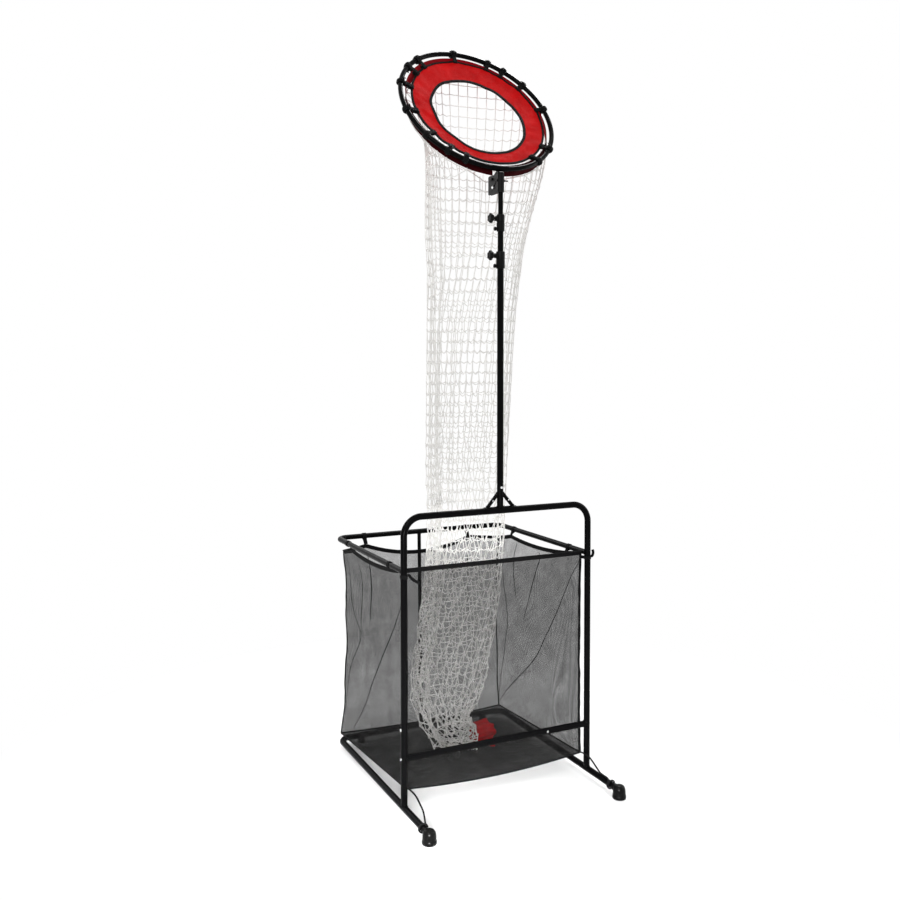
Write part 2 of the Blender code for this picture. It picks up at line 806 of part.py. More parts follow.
def clamp_collar(name, base, carrier, runner):
    """A collar on the top of one tube that guides the next, with a knob boss and a pin boss."""
    seat = carrier / 2 + SLIDE_GAP
    guide = runner / 2 + SLIDE_GAP
    outer = seat + COLLAR_WALL
    top = COLLAR_HEIGHT
    lip = COLLAR_SEAT + GAP
    chamfer = COLLAR_CHAMFER
    profile = [
        (outer - chamfer, top), (outer, top - chamfer), (outer, chamfer), (outer - chamfer, 0),
        (seat, 0), (seat, lip), (guide, lip), (guide, top),
    ]
    made = lathe(name, profile, black_plastic(), centre=at(0, 0, base), steps=TURNED_SIDES)
    knob_z = base + COLLAR_HEIGHT - KNOB_DROP
    pin_z = base + PIN_RISE
    inside = -(seat + outer) / 2
    bosses = [
        rod(name + "_knob_boss", at(-outer - KNOB_BOSS_LENGTH, 0, knob_z), at(inside, 0, knob_z),
            KNOB_BOSS_RADIUS, None, CUTTERS),
        rod(name + "_pin_boss", at(-outer - PIN_BOSS_LENGTH, 0, pin_z), at(inside, 0, pin_z),
            PIN_BOSS_RADIUS, None, CUTTERS),
    ]
    join(made, bosses)
    drill(made, [
        (at(-outer * 2, 0, knob_z), at(0, 0, knob_z), KNOB_SCREW_RADIUS + HOLE_GAP),
        (at(-outer * 2, 0, pin_z), at(0, 0, pin_z), PIN_RADIUS + HOLE_GAP),
    ])
    return outer


def clamp_knob(name, base, outer, runner):
    """A lobed knob on its clamp screw, which ends at the sliding tube."""
    z = base + COLLAR_HEIGHT - KNOB_DROP
    face = -outer - KNOB_BOSS_LENGTH - GAP
    tip = -runner / 2 - GAP
    neck = face - KNOB_NECK
    back = neck - KNOB_THICKNESS
    r = KNOB_RADIUS
    thick = KNOB_THICKNESS
    rings = [
        (back, r * 0.70, KNOB_LOBE * 0.5), (back + thick * 0.25, r, KNOB_LOBE),
        (neck - thick * 0.21, r, KNOB_LOBE), (neck, r * 0.80, KNOB_LOBE * 0.5),
        (neck + thick * 0.07, KNOB_HUB_RADIUS, 0.0),
        (face, KNOB_HUB_RADIUS * 0.9, 0.0), (face, KNOB_SCREW_RADIUS, 0.0),
        (tip, KNOB_SCREW_RADIUS, 0.0),
    ]
    count = 4 * KNOB_LOBES
    bm = bmesh.new()
    loops = []
    for x, radius, lobe in rings:
        loop = []
        for i in range(count):
            turn = 2 * pi * i / count
            size = radius * (1 - lobe + lobe * cos(KNOB_LOBES * turn))
            loop.append(bm.verts.new((x - face, size * cos(turn), size * sin(turn))))
        loops.append(loop)
    for low, high in zip(loops, loops[1:]):
        for i in range(count):
            j = (i + 1) % count
            bm.faces.new((low[i], low[j], high[j], high[i]))
    bm.faces.new(loops[0])
    bm.faces.new(loops[-1])
    made = finish(name, bm, black_plastic())
    made.location = at(face, 0, z)


def pull_pin(name, base, outer, runner):
    """A round-headed pin whose nose ends at the sliding tube."""
    z = base + PIN_RISE
    face = outer + PIN_BOSS_LENGTH + PIN_HEAD_GAP
    nose = runner / 2 + GAP
    r = PIN_HEAD_RADIUS
    profile = [
        (0, PIN_HEAD_LENGTH), (r * 0.6, PIN_HEAD_LENGTH), (r, PIN_HEAD_LENGTH * 0.7),
        (r, PIN_HEAD_LENGTH * 0.25), (r * 0.8, 0), (PIN_RADIUS, 0), (PIN_RADIUS, nose - face),
        (0, nose - face),
    ]
    lathe(name, profile, black_plastic(), (-1, 0, 0), at(-face, 0, z), TUBE_SIDES, False)


def mast():
    mast_lower()
    middle_base = UPPER_COLLAR + COLLAR_SEAT - MIDDLE_TUBE_LENGTH
    upper_pin = UPPER_COLLAR + PIN_RISE
    inner_tube(
        "mast_middle_tube", middle_base, MIDDLE_TUBE_LENGTH, MAST_MIDDLE_TUBE,
        [(at(-MAST_MIDDLE_TUBE, 0, upper_pin), at(0, 0, upper_pin), PIN_RADIUS + HOLE_GAP)],
    )
    upper_base = SLEEVE_TOP - SLEEVE_TOP_DROP - UPPER_TUBE_LENGTH
    inner_tube(
        "mast_upper_tube", upper_base, UPPER_TUBE_LENGTH, MAST_UPPER_TUBE, [sleeve_bolt_hole()]
    )
    stages = (
        ("lower", LOWER_COLLAR, MAST_LOWER_TUBE, MAST_MIDDLE_TUBE),
        ("upper", UPPER_COLLAR, MAST_MIDDLE_TUBE, MAST_UPPER_TUBE),
    )
    for stage, base, carrier, runner in stages:
        outer = clamp_collar(stage + "_clamp_collar", base, carrier, runner)
        clamp_knob(stage + "_clamp_knob", base, outer, runner)
        pull_pin(stage + "_pull_pin", base, outer, runner)


# Tilt bracket

def sleeve_bolt_hole():
    """The hole right through the sleeve and the upper tube."""
    side = at(SLEEVE_RADIUS * 2, 0, SLEEVE_BOLT_HEIGHT)
    return (side - ACROSS * SLEEVE_RADIUS * 4, side, SLEEVE_BOLT_RADIUS + HOLE_GAP)


def pivot_yz():
    return (PIVOT.y, PIVOT.z)


def lock_yz():
    turn = radians(LOCK_ANGLE)
    return (PIVOT.y + LOCK_RADIUS * cos(turn), PIVOT.z + LOCK_RADIUS * sin(turn))


def tilt_sleeve():
    """The sleeve on the mast's top with two cheeks, each with a pivot hole and a curved slot."""
    bore = MAST_UPPER_TUBE / 2 + SLIDE_GAP
    r = SLEEVE_RADIUS
    high = SLEEVE_HEIGHT
    edge = SLEEVE_EDGE
    profile = [(r - edge, high), (r, high - edge), (r, 0), (bore, 0), (bore, high)]
    sleeve = lathe("tilt_sleeve", profile, bracket_steel(), centre=at(0, 0, SLEEVE_BASE),
                   steps=TURNED_SIDES)
    front = FRONT_Y + (bore + r) / 2
    rear = FRONT_Y + CHEEK_DEPTH
    low = SLEEVE_BASE
    high_z = SLEEVE_TOP - SLEEVE_TOP_DROP
    c = CHEEK_CORNER
    outline = hull(
        [(front, low), (front, high_z)]
        + circle((rear - c, low + c), c, 12) + circle((rear - c, high_z - c), c, 12)
    )
    hole = PIVOT_BOLT_RADIUS + HOLE_GAP
    slot = arc_slot(pivot_yz(), LOCK_RADIUS, hole, LOCK_ANGLE, LOCK_ANGLE - TILT_TRAVEL)
    loops = [outline, circle(pivot_yz(), hole), slot]
    middle = (CHEEK_GAP + CHEEK_THICKNESS) / 2
    cheeks = [
        upright_plate("cheek", loops, CHEEK_THICKNESS, side * middle, CUTTERS) for side in (-1, 1)
    ]
    join(sleeve, cheeks)
    drill(sleeve, [sleeve_bolt_hole()])


def through_bolt(name, middle, shank, half_grip, tip, head, surface):
    """A bolt along X with its nut on the right, turned in one piece."""
    high = BOLT_HEAD_HEIGHT
    profile = [
        (0, half_grip + high), (head * 0.8, half_grip + high), (head, half_grip + high * 0.7),
        (head, half_grip + GAP), (shank, half_grip + GAP), (shank, -half_grip - GAP),
        (head, -half_grip - GAP), (head, -half_grip - high), (shank, -half_grip - high),
        (shank, -half_grip - high - tip), (0, -half_grip - high - tip),
    ]
    return lathe(name, profile, surface, (-1, 0, 0), middle, BOLT_SIDES, False)


def bracket_bolts():
    through_bolt("tilt_pivot_bolt", PIVOT, PIVOT_BOLT_RADIUS, HALF_GRIP, BOLT_TIP,
                 BOLT_HEAD_RADIUS, bracket_steel())
    through_bolt("sleeve_bolt", at(0, 0, SLEEVE_BOLT_HEIGHT), SLEEVE_BOLT_RADIUS, SLEEVE_RADIUS,
                 SLEEVE_BOLT_TIP, SLEEVE_BOLT_HEAD, bracket_steel())


def tilt_lock_bolt():
    y, z = lock_yz()
    return through_bolt("tilt_lock_bolt", Vector((0, y, z)), PIVOT_BOLT_RADIUS, HALF_GRIP,
                        BOLT_TIP, BOLT_HEAD_RADIUS, zinc())


def ferrule_half_angle():
    return FERRULE_LENGTH / RING_RADIUS / 2 * 180 / pi


def ring_ferrule():
    """The sleeve that closes the ring's tube, with the lug that turns between the cheeks."""
    r = RING_TUBE / 2 + SLIDE_GAP
    half = ferrule_half_angle()
    path = [ring_point(-90 + half * i, RING_RADIUS) for i in (-1, 0, 1)]
    ferrule = meshed(tube("ring_ferrule", path, 2 * (r + FERRULE_WALL), FERRULE_WALL,
                          black_paint(), fineness=6))
    reach = Vector((0, PIVOT.y - RING_FOOT.y, PIVOT.z - RING_FOOT.z)).normalized()
    root = RING_FOOT + reach * (r + FERRULE_WALL * 0.4 + LUG_ROOT_RADIUS)
    outline = hull(
        circle((root.y, root.z), LUG_ROOT_RADIUS) + circle(pivot_yz(), LUG_PIVOT_RADIUS)
        + circle(lock_yz(), LUG_LOCK_RADIUS)
    )
    hole = PIVOT_BOLT_RADIUS + HOLE_GAP
    loops = [outline, circle(pivot_yz(), hole), circle(lock_yz(), hole)]
    lug = upright_plate("ring_lug", loops, CHEEK_GAP - 2 * SLIDE_GAP, 0, CUTTERS)
    return join(ferrule, [lug])


# Ring, target and net

def facet_width():
    """The angle of one straight facet of the ring, outside the ferrule."""
    return (360 - 2 * ferrule_half_angle()) / RING_FACETS


def ring_tube():
    """The hoop of tube, its two ends meeting inside the ferrule."""
    first = ferrule_half_angle() - 90
    angles = [first + facet_width() * i for i in range(RING_FACETS + 1)]
    angles = [RING_SPLIT - 90] + angles + [-90 - RING_SPLIT]
    path = [ring_point(angle, RING_RADIUS) for angle in angles]
    return tube("ring_tube", path, RING_TUBE, RING_WALL, black_paint(), fineness=3)


def strap_place(angle):
    """The nearest place to an angle where a strap lies wholly on one facet of the ring."""
    first = ferrule_half_angle() - 90
    facet = (angle - first) % 360 // facet_width()
    middle = first + (facet + 0.5) * facet_width()
    room = facet_width() / 2 - STRAP_WIDTH / 2 / RING_RADIUS * 180 / pi
    offset = (angle - middle + 180) % 360 - 180
    offset = max(-room, min(room, offset))
    radius = RING_RADIUS * cos(radians(facet_width() / 2)) / cos(radians(offset))
    return middle + offset, radius, ring_tangent(middle)


def piping(name, radius, offset=(0, 0)):
    """A thin round hoop in the ring's plane."""
    profile = [(a, -b) for a, b in circle((radius, 0), PIPING_RADIUS, PIPING_SIDES)]
    centre = RING_CENTRE + offset[0] * ACROSS + offset[1] * UP_RING
    return lathe(name, profile, black_webbing(), OUT_OF_RING, centre, TARGET_STEPS)


def strap(angle):
    """One strap: a loop round the ring's tube and a tab in to the piping."""
    inner = RING_TUBE / 2 + GAP * 3
    outer = inner + STRAP_THICKNESS
    half = STRAP_WIDTH / 2
    profile = [(outer, half), (outer, -half), (inner, -half), (inner, half)]
    place, radius, along = strap_place(angle)
    loop = lathe("strap_loop", profile, None, along, ring_point(place, radius),
                 STRAP_SIDES, True, CUTTERS)
    start = ring_point(place, radius - inner - STRAP_THICKNESS * 0.5)
    end = ring_point(place, TARGET_OUTER - PIPING_RADIUS)
    tab = bar("strap_tab", start, end, along, STRAP_WIDTH * 0.9, STRAP_THICKNESS, None, CUTTERS)
    return join(loop, [tab])


def target():
    """The red panel between two pipings, with the straps on the outer one."""
    inner = TARGET_INNER + 2 * PIPING_RADIUS + GAP
    outer = TARGET_OUTER - 2 * PIPING_RADIUS - GAP
    loops = [circle((0, 0), outer, TARGET_STEPS), circle(HOLE_OFFSET, inner, TARGET_STEPS)]
    frame = flat_frame(ACROSS, UP_RING, RING_CENTRE)
    panel = plate("target_panel", loops, TARGET_THICKNESS, frame, red_fabric())
    inner_piping = piping("target_inner_piping", TARGET_INNER + PIPING_RADIUS, HOLE_OFFSET)
    outer_piping = piping("target_straps", TARGET_OUTER - PIPING_RADIUS)
    join(outer_piping, [strap(angle) for angle in STRAP_ANGLES])
    return [panel, inner_piping, outer_piping]


def band_top(angle):
    lift = -STRAP_THICKNESS / 2 - GAP - COLLAR_BAND_THICKNESS / 2
    return ring_point(angle, COLLAR_BAND_RADIUS, lift)


def net_collar():
    """The fabric band behind the ring that the net is sewn to, slit at the bracket."""
    count = COLLAR_BAND_STEPS
    first = -90 + COLLAR_BAND_SLIT / 2
    span = 360 - COLLAR_BAND_SLIT
    drop = Vector((0, 0, -COLLAR_BAND_DROP))
    bm = bmesh.new()
    rows = []
    for i in range(count + 1):
        top = band_top(first + span * i / count)
        rows.append((bm.verts.new(top), bm.verts.new(top + drop)))
    for (a, b), (c, d) in zip(rows, rows[1:]):
        bm.faces.new((a, b, d, c))
    made = finish("net_collar", bm, dark_red_fabric())
    skin = made.modifiers.new("fabric", "SOLIDIFY")
    skin.thickness = COLLAR_BAND_THICKNESS
    skin.offset = 0
    return made


def net_ring(station):
    """The points of one ring of the net, from its centre, half sizes and turn."""
    x, y, z, wide, deep, turn = station
    turn = radians(turn)
    ring = []
    for i in range(NET_COLUMNS):
        angle = 2 * pi * i / NET_COLUMNS - pi / 2
        across = wide * cos(angle)
        ring.append(at(x + across * cos(turn), y + deep * sin(angle), z + across * sin(turn)))
    return ring


def net_top():
    """The net's upper edge under the band, led behind the tilt bracket at the front."""
    drop = Vector((0, 0, -COLLAR_BAND_DROP - NET_CORD - GAP))
    ring = [band_top(360 * i / NET_COLUMNS - 90) + drop for i in range(NET_COLUMNS)]
    ring[0].y = FRONT_Y + CHEEK_DEPTH + NET_FRONT_CLEAR
    return ring


def between(stations, share):
    """A ring part of the way along the course, by the length of the course."""
    centres = [sum(ring, Vector()) / len(ring) for ring in stations]
    lengths = [(b - a).length for a, b in zip(centres, centres[1:])]
    left = share * sum(lengths)
    for i, length in enumerate(lengths):
        if left <= length or i == len(lengths) - 1:
            part = left / length
            return [a.lerp(b, part) for a, b in zip(stations[i], stations[i + 1])]
        left -= length


def net_sleeve():
    """The net: a knotted tube of square gaps from the band down to its cuff."""
    stations = [net_top()] + [net_ring(s) for s in NET_COURSE]
    bm = bmesh.new()
    rows = [
        [bm.verts.new(p) for p in between(stations, row / NET_ROWS)] for row in range(NET_ROWS + 1)
    ]
    for low, high in zip(rows, rows[1:]):
        for i in range(NET_COLUMNS):
            j = (i + 1) % NET_COLUMNS
            bm.faces.new((low[i], low[j], high[j], high[i]))
    made = finish("net_sleeve", bm, white_cord())
    cords = made.modifiers.new("cords", "WIREFRAME")
    cords.thickness = NET_CORD
    cords.use_even_offset = False
    cords.use_boundary = True
    return made


def net_cuff():
    """The short fabric tube that ends the net."""
    x, y, z = NET_COURSE[-1][:3]
    r = CUFF_RADIUS
    profile = [(r, CUFF_LENGTH), (r, 0), (r - CUFF_WALL, 0), (r - CUFF_WALL, CUFF_LENGTH)]
    start = at(x + NET_CORD / 2 + GAP * 2, y, z)
    return lathe("net_cuff", profile, dark_red_fabric(), (1, 0, 0), start, 20)


# Basket

def sagging(t, anchors):
    """The drop between anchors (place, drop, sag of the span that follows)."""
    for (t0, z0, sag), (t1, z1, _) in zip(anchors, anchors[1:]):
        if t <= t1:
            s = (t - t0) / (t1 - t0)
            return z0 + (z1 - z0) * s + 4 * sag * s * (1 - s)
    return anchors[-1][1]


def slid(t, pairs):
    """A regular grid's value moved so that given grid lines fall on given places."""
    for (t0, p0), (t1, p1) in zip(pairs, pairs[1:]):
        if t <= t1:
            return p0 + (p1 - p0) * (t - t0) / (t1 - t0)
    return pairs[-1][1]


def grid_place(u, v):
    """Grid values with a line at each strap, u and v running from -1 to 1."""
    line = 2 / (BASKET_CUTS + 1)
    left, right = [strap_share(0, x) for x in REAR_STRAPS]
    first, second = [2 * strap_share(1, y) - 1 for y in SIDE_STRAPS]
    across = [(-1, -1), (line - 1, left), (1 - 2 * line, right), (1, 1)]
    deep = [(-1, -1), (line - 1, first), (1 - line, second), (1, 1)]
    return slid(u, across), slid(v, deep)


def strap_share(side, place):
    """A strap's place along its edge: across from -1 to 1 at the rear, back from 0 to 1 at a side."""
    if side == 0:
        return place / (BASKET_WIDTH / 2)
    return (place - BASKET_FRONT) / RIM_DEPTH


def rim_height(u, v):
    """The hem's height on the basket's edge, u and v running from -1 to 1."""
    if v <= -0.999:
        return HOOP_HEIGHT - FRONT_HEM_DROP
    if v >= 0.999:
        left, right = [strap_share(0, x) for x in REAR_STRAPS]
        anchors = [
            (-1, CORNER_HEM_DROP, SHORT_SAG), (left, REAR_STRAP_DROP, REAR_SAG),
            (right, REAR_STRAP_DROP, SHORT_SAG), (1, CORNER_HEM_DROP, 0),
        ]
        return HOOP_HEIGHT - sagging(u, anchors)
    first, second = [strap_share(1, y) for y in SIDE_STRAPS]
    anchors = [
        (0, FRONT_HEM_DROP, SHORT_SAG), (first, SIDE_STRAP_DROPS[0], SIDE_SAG),
        (second, SIDE_STRAP_DROPS[1], SHORT_SAG), (1, CORNER_HEM_DROP, 0),
    ]
    return HOOP_HEIGHT - sagging((v + 1) / 2, anchors)


def floor_height(u, v):
    back = (v + 1) / 2
    edge = RAIL_HEIGHT + FRONT_FLOOR_RISE + (REAR_FLOOR_RISE - FRONT_FLOOR_RISE) * back
    return edge - FLOOR_SAG * (1 - u * u) * (1 - back * back)


def basket_point(u, v, w):
    """A point of the basket: u and v across and back from -1 to 1, w up from 0 to 1."""
    back = (v + 1) / 2
    low, high = floor_height(u, v), rim_height(u, v)
    z = low + (high - low) * w
    waist = BASKET_WAIST * 4 * w * (1 - w) * (0.3 + 0.7 * back)
    flare = BASKET_FLARE * (1 - w) * back
    tuck = REAR_TUCK * (1 - w) * (1 - u * u)
    fold = FOLD_DEPTH * sin(pi * w)
    depth = FLOOR_DEPTH + (RIM_DEPTH - FLOOR_DEPTH) * w
    x = u * (BASKET_WIDTH / 2 - waist + flare)
    y = BASKET_FRONT + (depth - tuck - waist * 0.5 + flare * u * u) * back
    if abs(u) > 0.999:
        x -= u * fold * (1 - cos(4 * pi * back))
    if v > 0.999:
        y -= fold * (1 - cos(4 * pi * (u + 1) / 2))
    return at(x, y, z)


def mesh_basket():
    """The open-topped fabric basket with its main folds."""
    bm = bmesh.new()
    bmesh.ops.create_cube(bm, size=2)
    lid = [f for f in bm.faces if f.normal.z > 0.5]
    bmesh.ops.delete(bm, geom=lid, context="FACES_ONLY")
    bmesh.ops.subdivide_edges(bm, edges=bm.edges, cuts=BASKET_CUTS, use_grid_fill=True)
    for vertex in bm.verts:
        u, v = grid_place(vertex.co.x, vertex.co.y)
        vertex.co = basket_point(u, v, (vertex.co.z + 1) / 2)
    mesh = bpy.data.meshes.new("mesh_basket")
    bm.to_mesh(mesh)
    bm.free()
    smooth(mesh, 60)
    made = add("mesh_basket", mesh, black_mesh())
    skin = made.modifiers.new("skin", "SOLIDIFY")
    skin.thickness = BASKET_SKIN
    skin.offset = -1


def rim_path():
    """The hem's middle line round the basket's edge."""
    count = BASKET_CUTS + 1
    steps = [2 * i / count - 1 for i in range(count)]
    loop = [(s, -1) for s in steps] + [(1, s) for s in steps]
    loop += [(-s, 1) for s in steps] + [(-1, -s) for s in steps]
    lift = Vector((0, 0, HEM_RISE))
    return [basket_point(*grid_place(u, v), 1) + lift for u, v in loop]


def basket_hem():
    hem = tube("basket_hem", rim_path(), 2 * HEM_RADIUS, None, black_webbing(), fineness=1)
    hem.data.splines[0].use_cyclic_u = True


def rim_at(place, side):
    """The hem's highest place under a strap: by x on the rear edge, or by y on a side edge."""
    points = []
    for near in (place, place - HANGER_WIDTH / 2, place + HANGER_WIDTH / 2):
        share = strap_share(side, near)
        u, v = (share, 1) if side == 0 else (side, 2 * share - 1)
        points.append(basket_point(u, v, 1))
    middle = points[0]
    return Vector((middle.x, middle.y, max(point.z for point in points) + HEM_RISE))


def hanger(name, centre, axis, hem):
    """A webbing loop on the hoop with a tail down to the hem."""
    inner = HOOP_TUBE / 2 + GAP * 2
    outer = inner + HANGER_THICKNESS
    half = HANGER_WIDTH / 2
    profile = [(outer, half), (outer, -half), (inner, -half), (inner, half)]
    loop = lathe(name, profile, black_webbing(), axis, centre, TUBE_SIDES)
    down = hem - centre
    down -= down.dot(axis) * axis
    way = down.normalized()
    start = centre + way * (inner + HANGER_THICKNESS / 2)
    end = centre + way * (down.length - HEM_RADIUS - GAP * 3)
    tail = bar(name + "_tail", start, end, axis, HANGER_WIDTH * 0.94, HANGER_THICKNESS, None,
               CUTTERS)
    join(loop, [tail])


def hangers():
    along_y = Vector((0, 1, 0))
    for side, word in ((-1, "left"), (1, "right")):
        for place, end in zip(SIDE_STRAPS, ("front", "rear")):
            centre = at(side * HALF_WIDTH, place, HOOP_HEIGHT)
            hanger(word + "_side_hanger_" + end, centre, along_y, rim_at(place, side))
    for place, word in zip(REAR_STRAPS, ("left", "right")):
        centre = at(place, HOOP_DEPTH, HOOP_HEIGHT)
        hanger("rear_hanger_" + word, centre, ACROSS, rim_at(place, 0))


def corner_ties():
    """Straps round the uprights that hold the basket's front corners, with loose tails."""
    up = Vector((0, 0, 1))
    inner = TUBE_RADIUS + GAP * 2
    outer = inner + HANGER_THICKNESS
    middle = inner + HANGER_THICKNESS / 2
    half = TIE_WIDTH / 2
    profile = [(outer, half), (outer, -half), (inner, -half), (inner, half)]
    turn = radians(TIE_ARM_ANGLE)
    ties = ((-1, "left_corner_tie", LEFT_TIE_TAIL), (1, "right_corner_tie", RIGHT_TIE_TAIL))
    for side, name, reach in ties:
        x = side * HALF_WIDTH
        loop = lathe(name, profile, black_webbing(), up, at(x, 0, TIE_HEIGHT), TUBE_SIDES)
        start = at(x - side * middle * cos(turn), middle * sin(turn), TIE_HEIGHT)
        end = at(side * (BASKET_WIDTH / 2 + GAP * 4), BASKET_FRONT + TIE_ARM_REACH, TIE_HEIGHT)
        arm = bar(name + "_arm", start, end, up, TIE_WIDTH * 0.94, HANGER_THICKNESS, None, CUTTERS)
        root = at(x + middle + TIE_TAIL_ROOT, 0, TIE_HEIGHT)
        tail = bar(name + "_tail", root, root + Vector(reach), up, TIE_WIDTH * 0.8,
                   HANGER_THICKNESS, None, CUTTERS)
        join(loop, [arm, tail])


def tie_cords():
    """Cords from the basket's front corners to a turn round each rail."""
    steps = 12
    step_angle = 2 * pi * TIE_CORD_TURNS / steps
    turn_radius = (TUBE_RADIUS + TIE_CORD_RADIUS + GAP) / cos(step_angle / 2)
    for side, name, lead in ((-1, "left_tie_cord", LEFT_LEAD), (1, "right_tie_cord", RIGHT_LEAD)):
        path = [at(side * x, y, z) for x, y, z in lead]
        for i in range(steps + 1):
            angle = radians(45) - step_angle * i
            path.append(at(
                side * (HALF_WIDTH - turn_radius * cos(angle)),
                -TIE_CORD_REACH - TIE_CORD_PITCH * TIE_CORD_TURNS * i / steps,
                RAIL_HEIGHT + turn_radius * sin(angle),
            ))
        tube(name, path, 2 * TIE_CORD_RADIUS, None, black_webbing(), fineness=1)


# Screws

def screws():
    for side, word in ((-1, "left"), (1, "right")):
        face = side * (HALF_WIDTH + TUBE_RADIUS)
        inward = (-side, 0, 0)
        screw(word + "_leg_screw", at(face, 0, LEG_SCREW_HEIGHT), inward, SHORT_SCREW)
        screw(word + "_crossbar_screw", at(face, 0, CROSSBAR_HEIGHT), inward, LONG_SCREW)
    face = at(0, -MAST_LOWER_TUBE / 2, SOCKET_SCREW_HEIGHT)
    screw("socket_screw", face, (0, 1, 0), SHORT_SCREW)


def build():
    front_frame()
    lower_legs()
    crossbar()
    base_frame()
    basket_hoop()
    rear_post()
    front_feet()
    rear_feet()
    mast_socket()
    mast()
    tilt_sleeve()
    bracket_bolts()
    turning = [tilt_lock_bolt(), ring_ferrule(), ring_tube(), net_collar()] + target()
    hang("ring_tilt_axis", PIVOT, turning)
    net_sleeve()
    net_cuff()
    mesh_basket()
    basket_hem()
    hangers()
    corner_ties()
    tie_cords()
    screws()


build()
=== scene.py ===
"""Volleyball practice net, dressed: finishes, cords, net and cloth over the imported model.

Metres, +Z up, front towards -Y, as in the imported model.
"""

from math import cos, degrees, exp, pi, radians, sin, sqrt

import bmesh
import bpy
from mathutils import Matrix, Vector, noise


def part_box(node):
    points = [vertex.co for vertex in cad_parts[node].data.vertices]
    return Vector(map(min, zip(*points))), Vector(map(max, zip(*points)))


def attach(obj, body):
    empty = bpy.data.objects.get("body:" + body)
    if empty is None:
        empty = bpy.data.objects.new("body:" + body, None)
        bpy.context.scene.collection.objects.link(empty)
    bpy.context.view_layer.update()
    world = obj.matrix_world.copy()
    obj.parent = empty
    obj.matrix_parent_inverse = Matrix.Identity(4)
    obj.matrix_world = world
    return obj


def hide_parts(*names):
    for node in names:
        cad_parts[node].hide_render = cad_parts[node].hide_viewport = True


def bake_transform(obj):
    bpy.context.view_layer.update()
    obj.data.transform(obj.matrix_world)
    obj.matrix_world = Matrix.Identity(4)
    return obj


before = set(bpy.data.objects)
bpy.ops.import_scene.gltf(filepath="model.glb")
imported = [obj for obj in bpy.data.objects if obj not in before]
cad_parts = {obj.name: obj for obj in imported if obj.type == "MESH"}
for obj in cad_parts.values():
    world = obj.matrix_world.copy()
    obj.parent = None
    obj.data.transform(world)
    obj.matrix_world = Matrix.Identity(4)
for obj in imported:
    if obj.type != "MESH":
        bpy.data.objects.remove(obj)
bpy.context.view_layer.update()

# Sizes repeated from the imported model; y is counted from the plane of the front frame
FRONT_Y = sum(corner.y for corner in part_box("front_crossbar")) / 2
HALF_WIDTH = 0.400
TUBE = 0.0125
WALL = 0.0012
GAP = 0.0003
PLUG = TUBE - WALL - 0.0006
FRAME_HEIGHT = 1.104
FRAME_BEND = 0.070
LEG_TOP = 0.345
LEG_PLUG = 0.070
CROSSBAR_HEIGHT = 0.2135
LEG_SCREW_HEIGHT = 0.322
RAIL_HEIGHT = 0.031
FOOT_REACH = 0.223
BASE_DEPTH = 0.715
BASE_BEND = 0.045
HOOP_HEIGHT = 0.9056
HOOP_DEPTH = 0.738
HOOP = 0.011
HOOP_BEND = 0.045
POST = 0.008
POST_OFFSET = -0.012
SOCKET_TOP = 1.2045
STRUT_SPREAD = 0.056
STRUT_RISE = 0.056
LOWER_TUBE_TOP = 2.055
MIDDLE_TUBE = 0.011
UPPER_TUBE = 0.0095
COLLARS = (("lower", 2.026, TUBE, MIDDLE_TUBE), ("upper", 2.166, MIDDLE_TUBE, UPPER_TUBE))
SLEEVE_TOP = 2.388
RISE = radians(55.2)
ACROSS = Vector((1, 0, 0))
BACK = Vector((0, 1, 0))
UP = Vector((0, 0, 1))
UP_RING = Vector((0, cos(RISE), sin(RISE)))
OUT_OF_RING = Vector((0, -sin(RISE), cos(RISE)))
RING_RADIUS = 0.322
RING_TUBE = 0.0095
FERRULE_WALL = 0.0018
TARGET_OUTER = 0.287
TARGET_INNER = 0.200
HOLE_OFFSET = (-0.008, -0.020)
STRAP_ANGLES = (9, 35, 53, 66, 94, 128, 141, 161, 189, 214, 232, 245, 306, 325)
BAND_RADIUS = 0.301
BAND_DROP = 0.042
BAND_LIFT = -0.0035
# The thickness of the basket's straps, and their play round a tube
STRAP = 0.0016
STRAP_PLAY = 0.0006
SIDES = ((-1, "left"), (1, "right"))
SQUARE = ((-1, -1), (1, -1), (1, 1), (-1, 1))


def at(x, y, z):
    """A point whose y is counted from the plane of the front frame."""
    return Vector((x, FRONT_Y + y, z))


def beside(side, y, z):
    """A point on the left or right, in the plane of the uprights' axes."""
    return at(side * HALF_WIDTH, y, z)


def limited(value, low=0.0, high=1.0):
    return min(high, max(low, value))


def ring_out(angle):
    """The direction away from the ring's centre, at an angle in degrees."""
    turn = radians(angle)
    return cos(turn) * ACROSS + sin(turn) * UP_RING


def ring_along(angle):
    return ring_out(angle + 90)


PIVOT = at(0, 0.056, 2.372)
RING_FOOT = at(0, 0.005, 2.404)
RING_CENTRE = RING_FOOT + RING_RADIUS * UP_RING
LOCK = PIVOT + 0.034 * Vector((0, cos(radians(-102)), sin(radians(-102))))


def ring_point(angle, radius, lift=0.0):
    """A point by its angle in degrees, its radius and its height in front of the ring's plane."""
    return RING_CENTRE + radius * ring_out(angle) + lift * OUT_OF_RING


def noise_at(x, y, z):
    return noise.noise(Vector((x, y, z)))


def placed(name, data):
    made = bpy.data.objects.new(name, data)
    bpy.context.scene.collection.objects.link(made)
    return made


# Camera

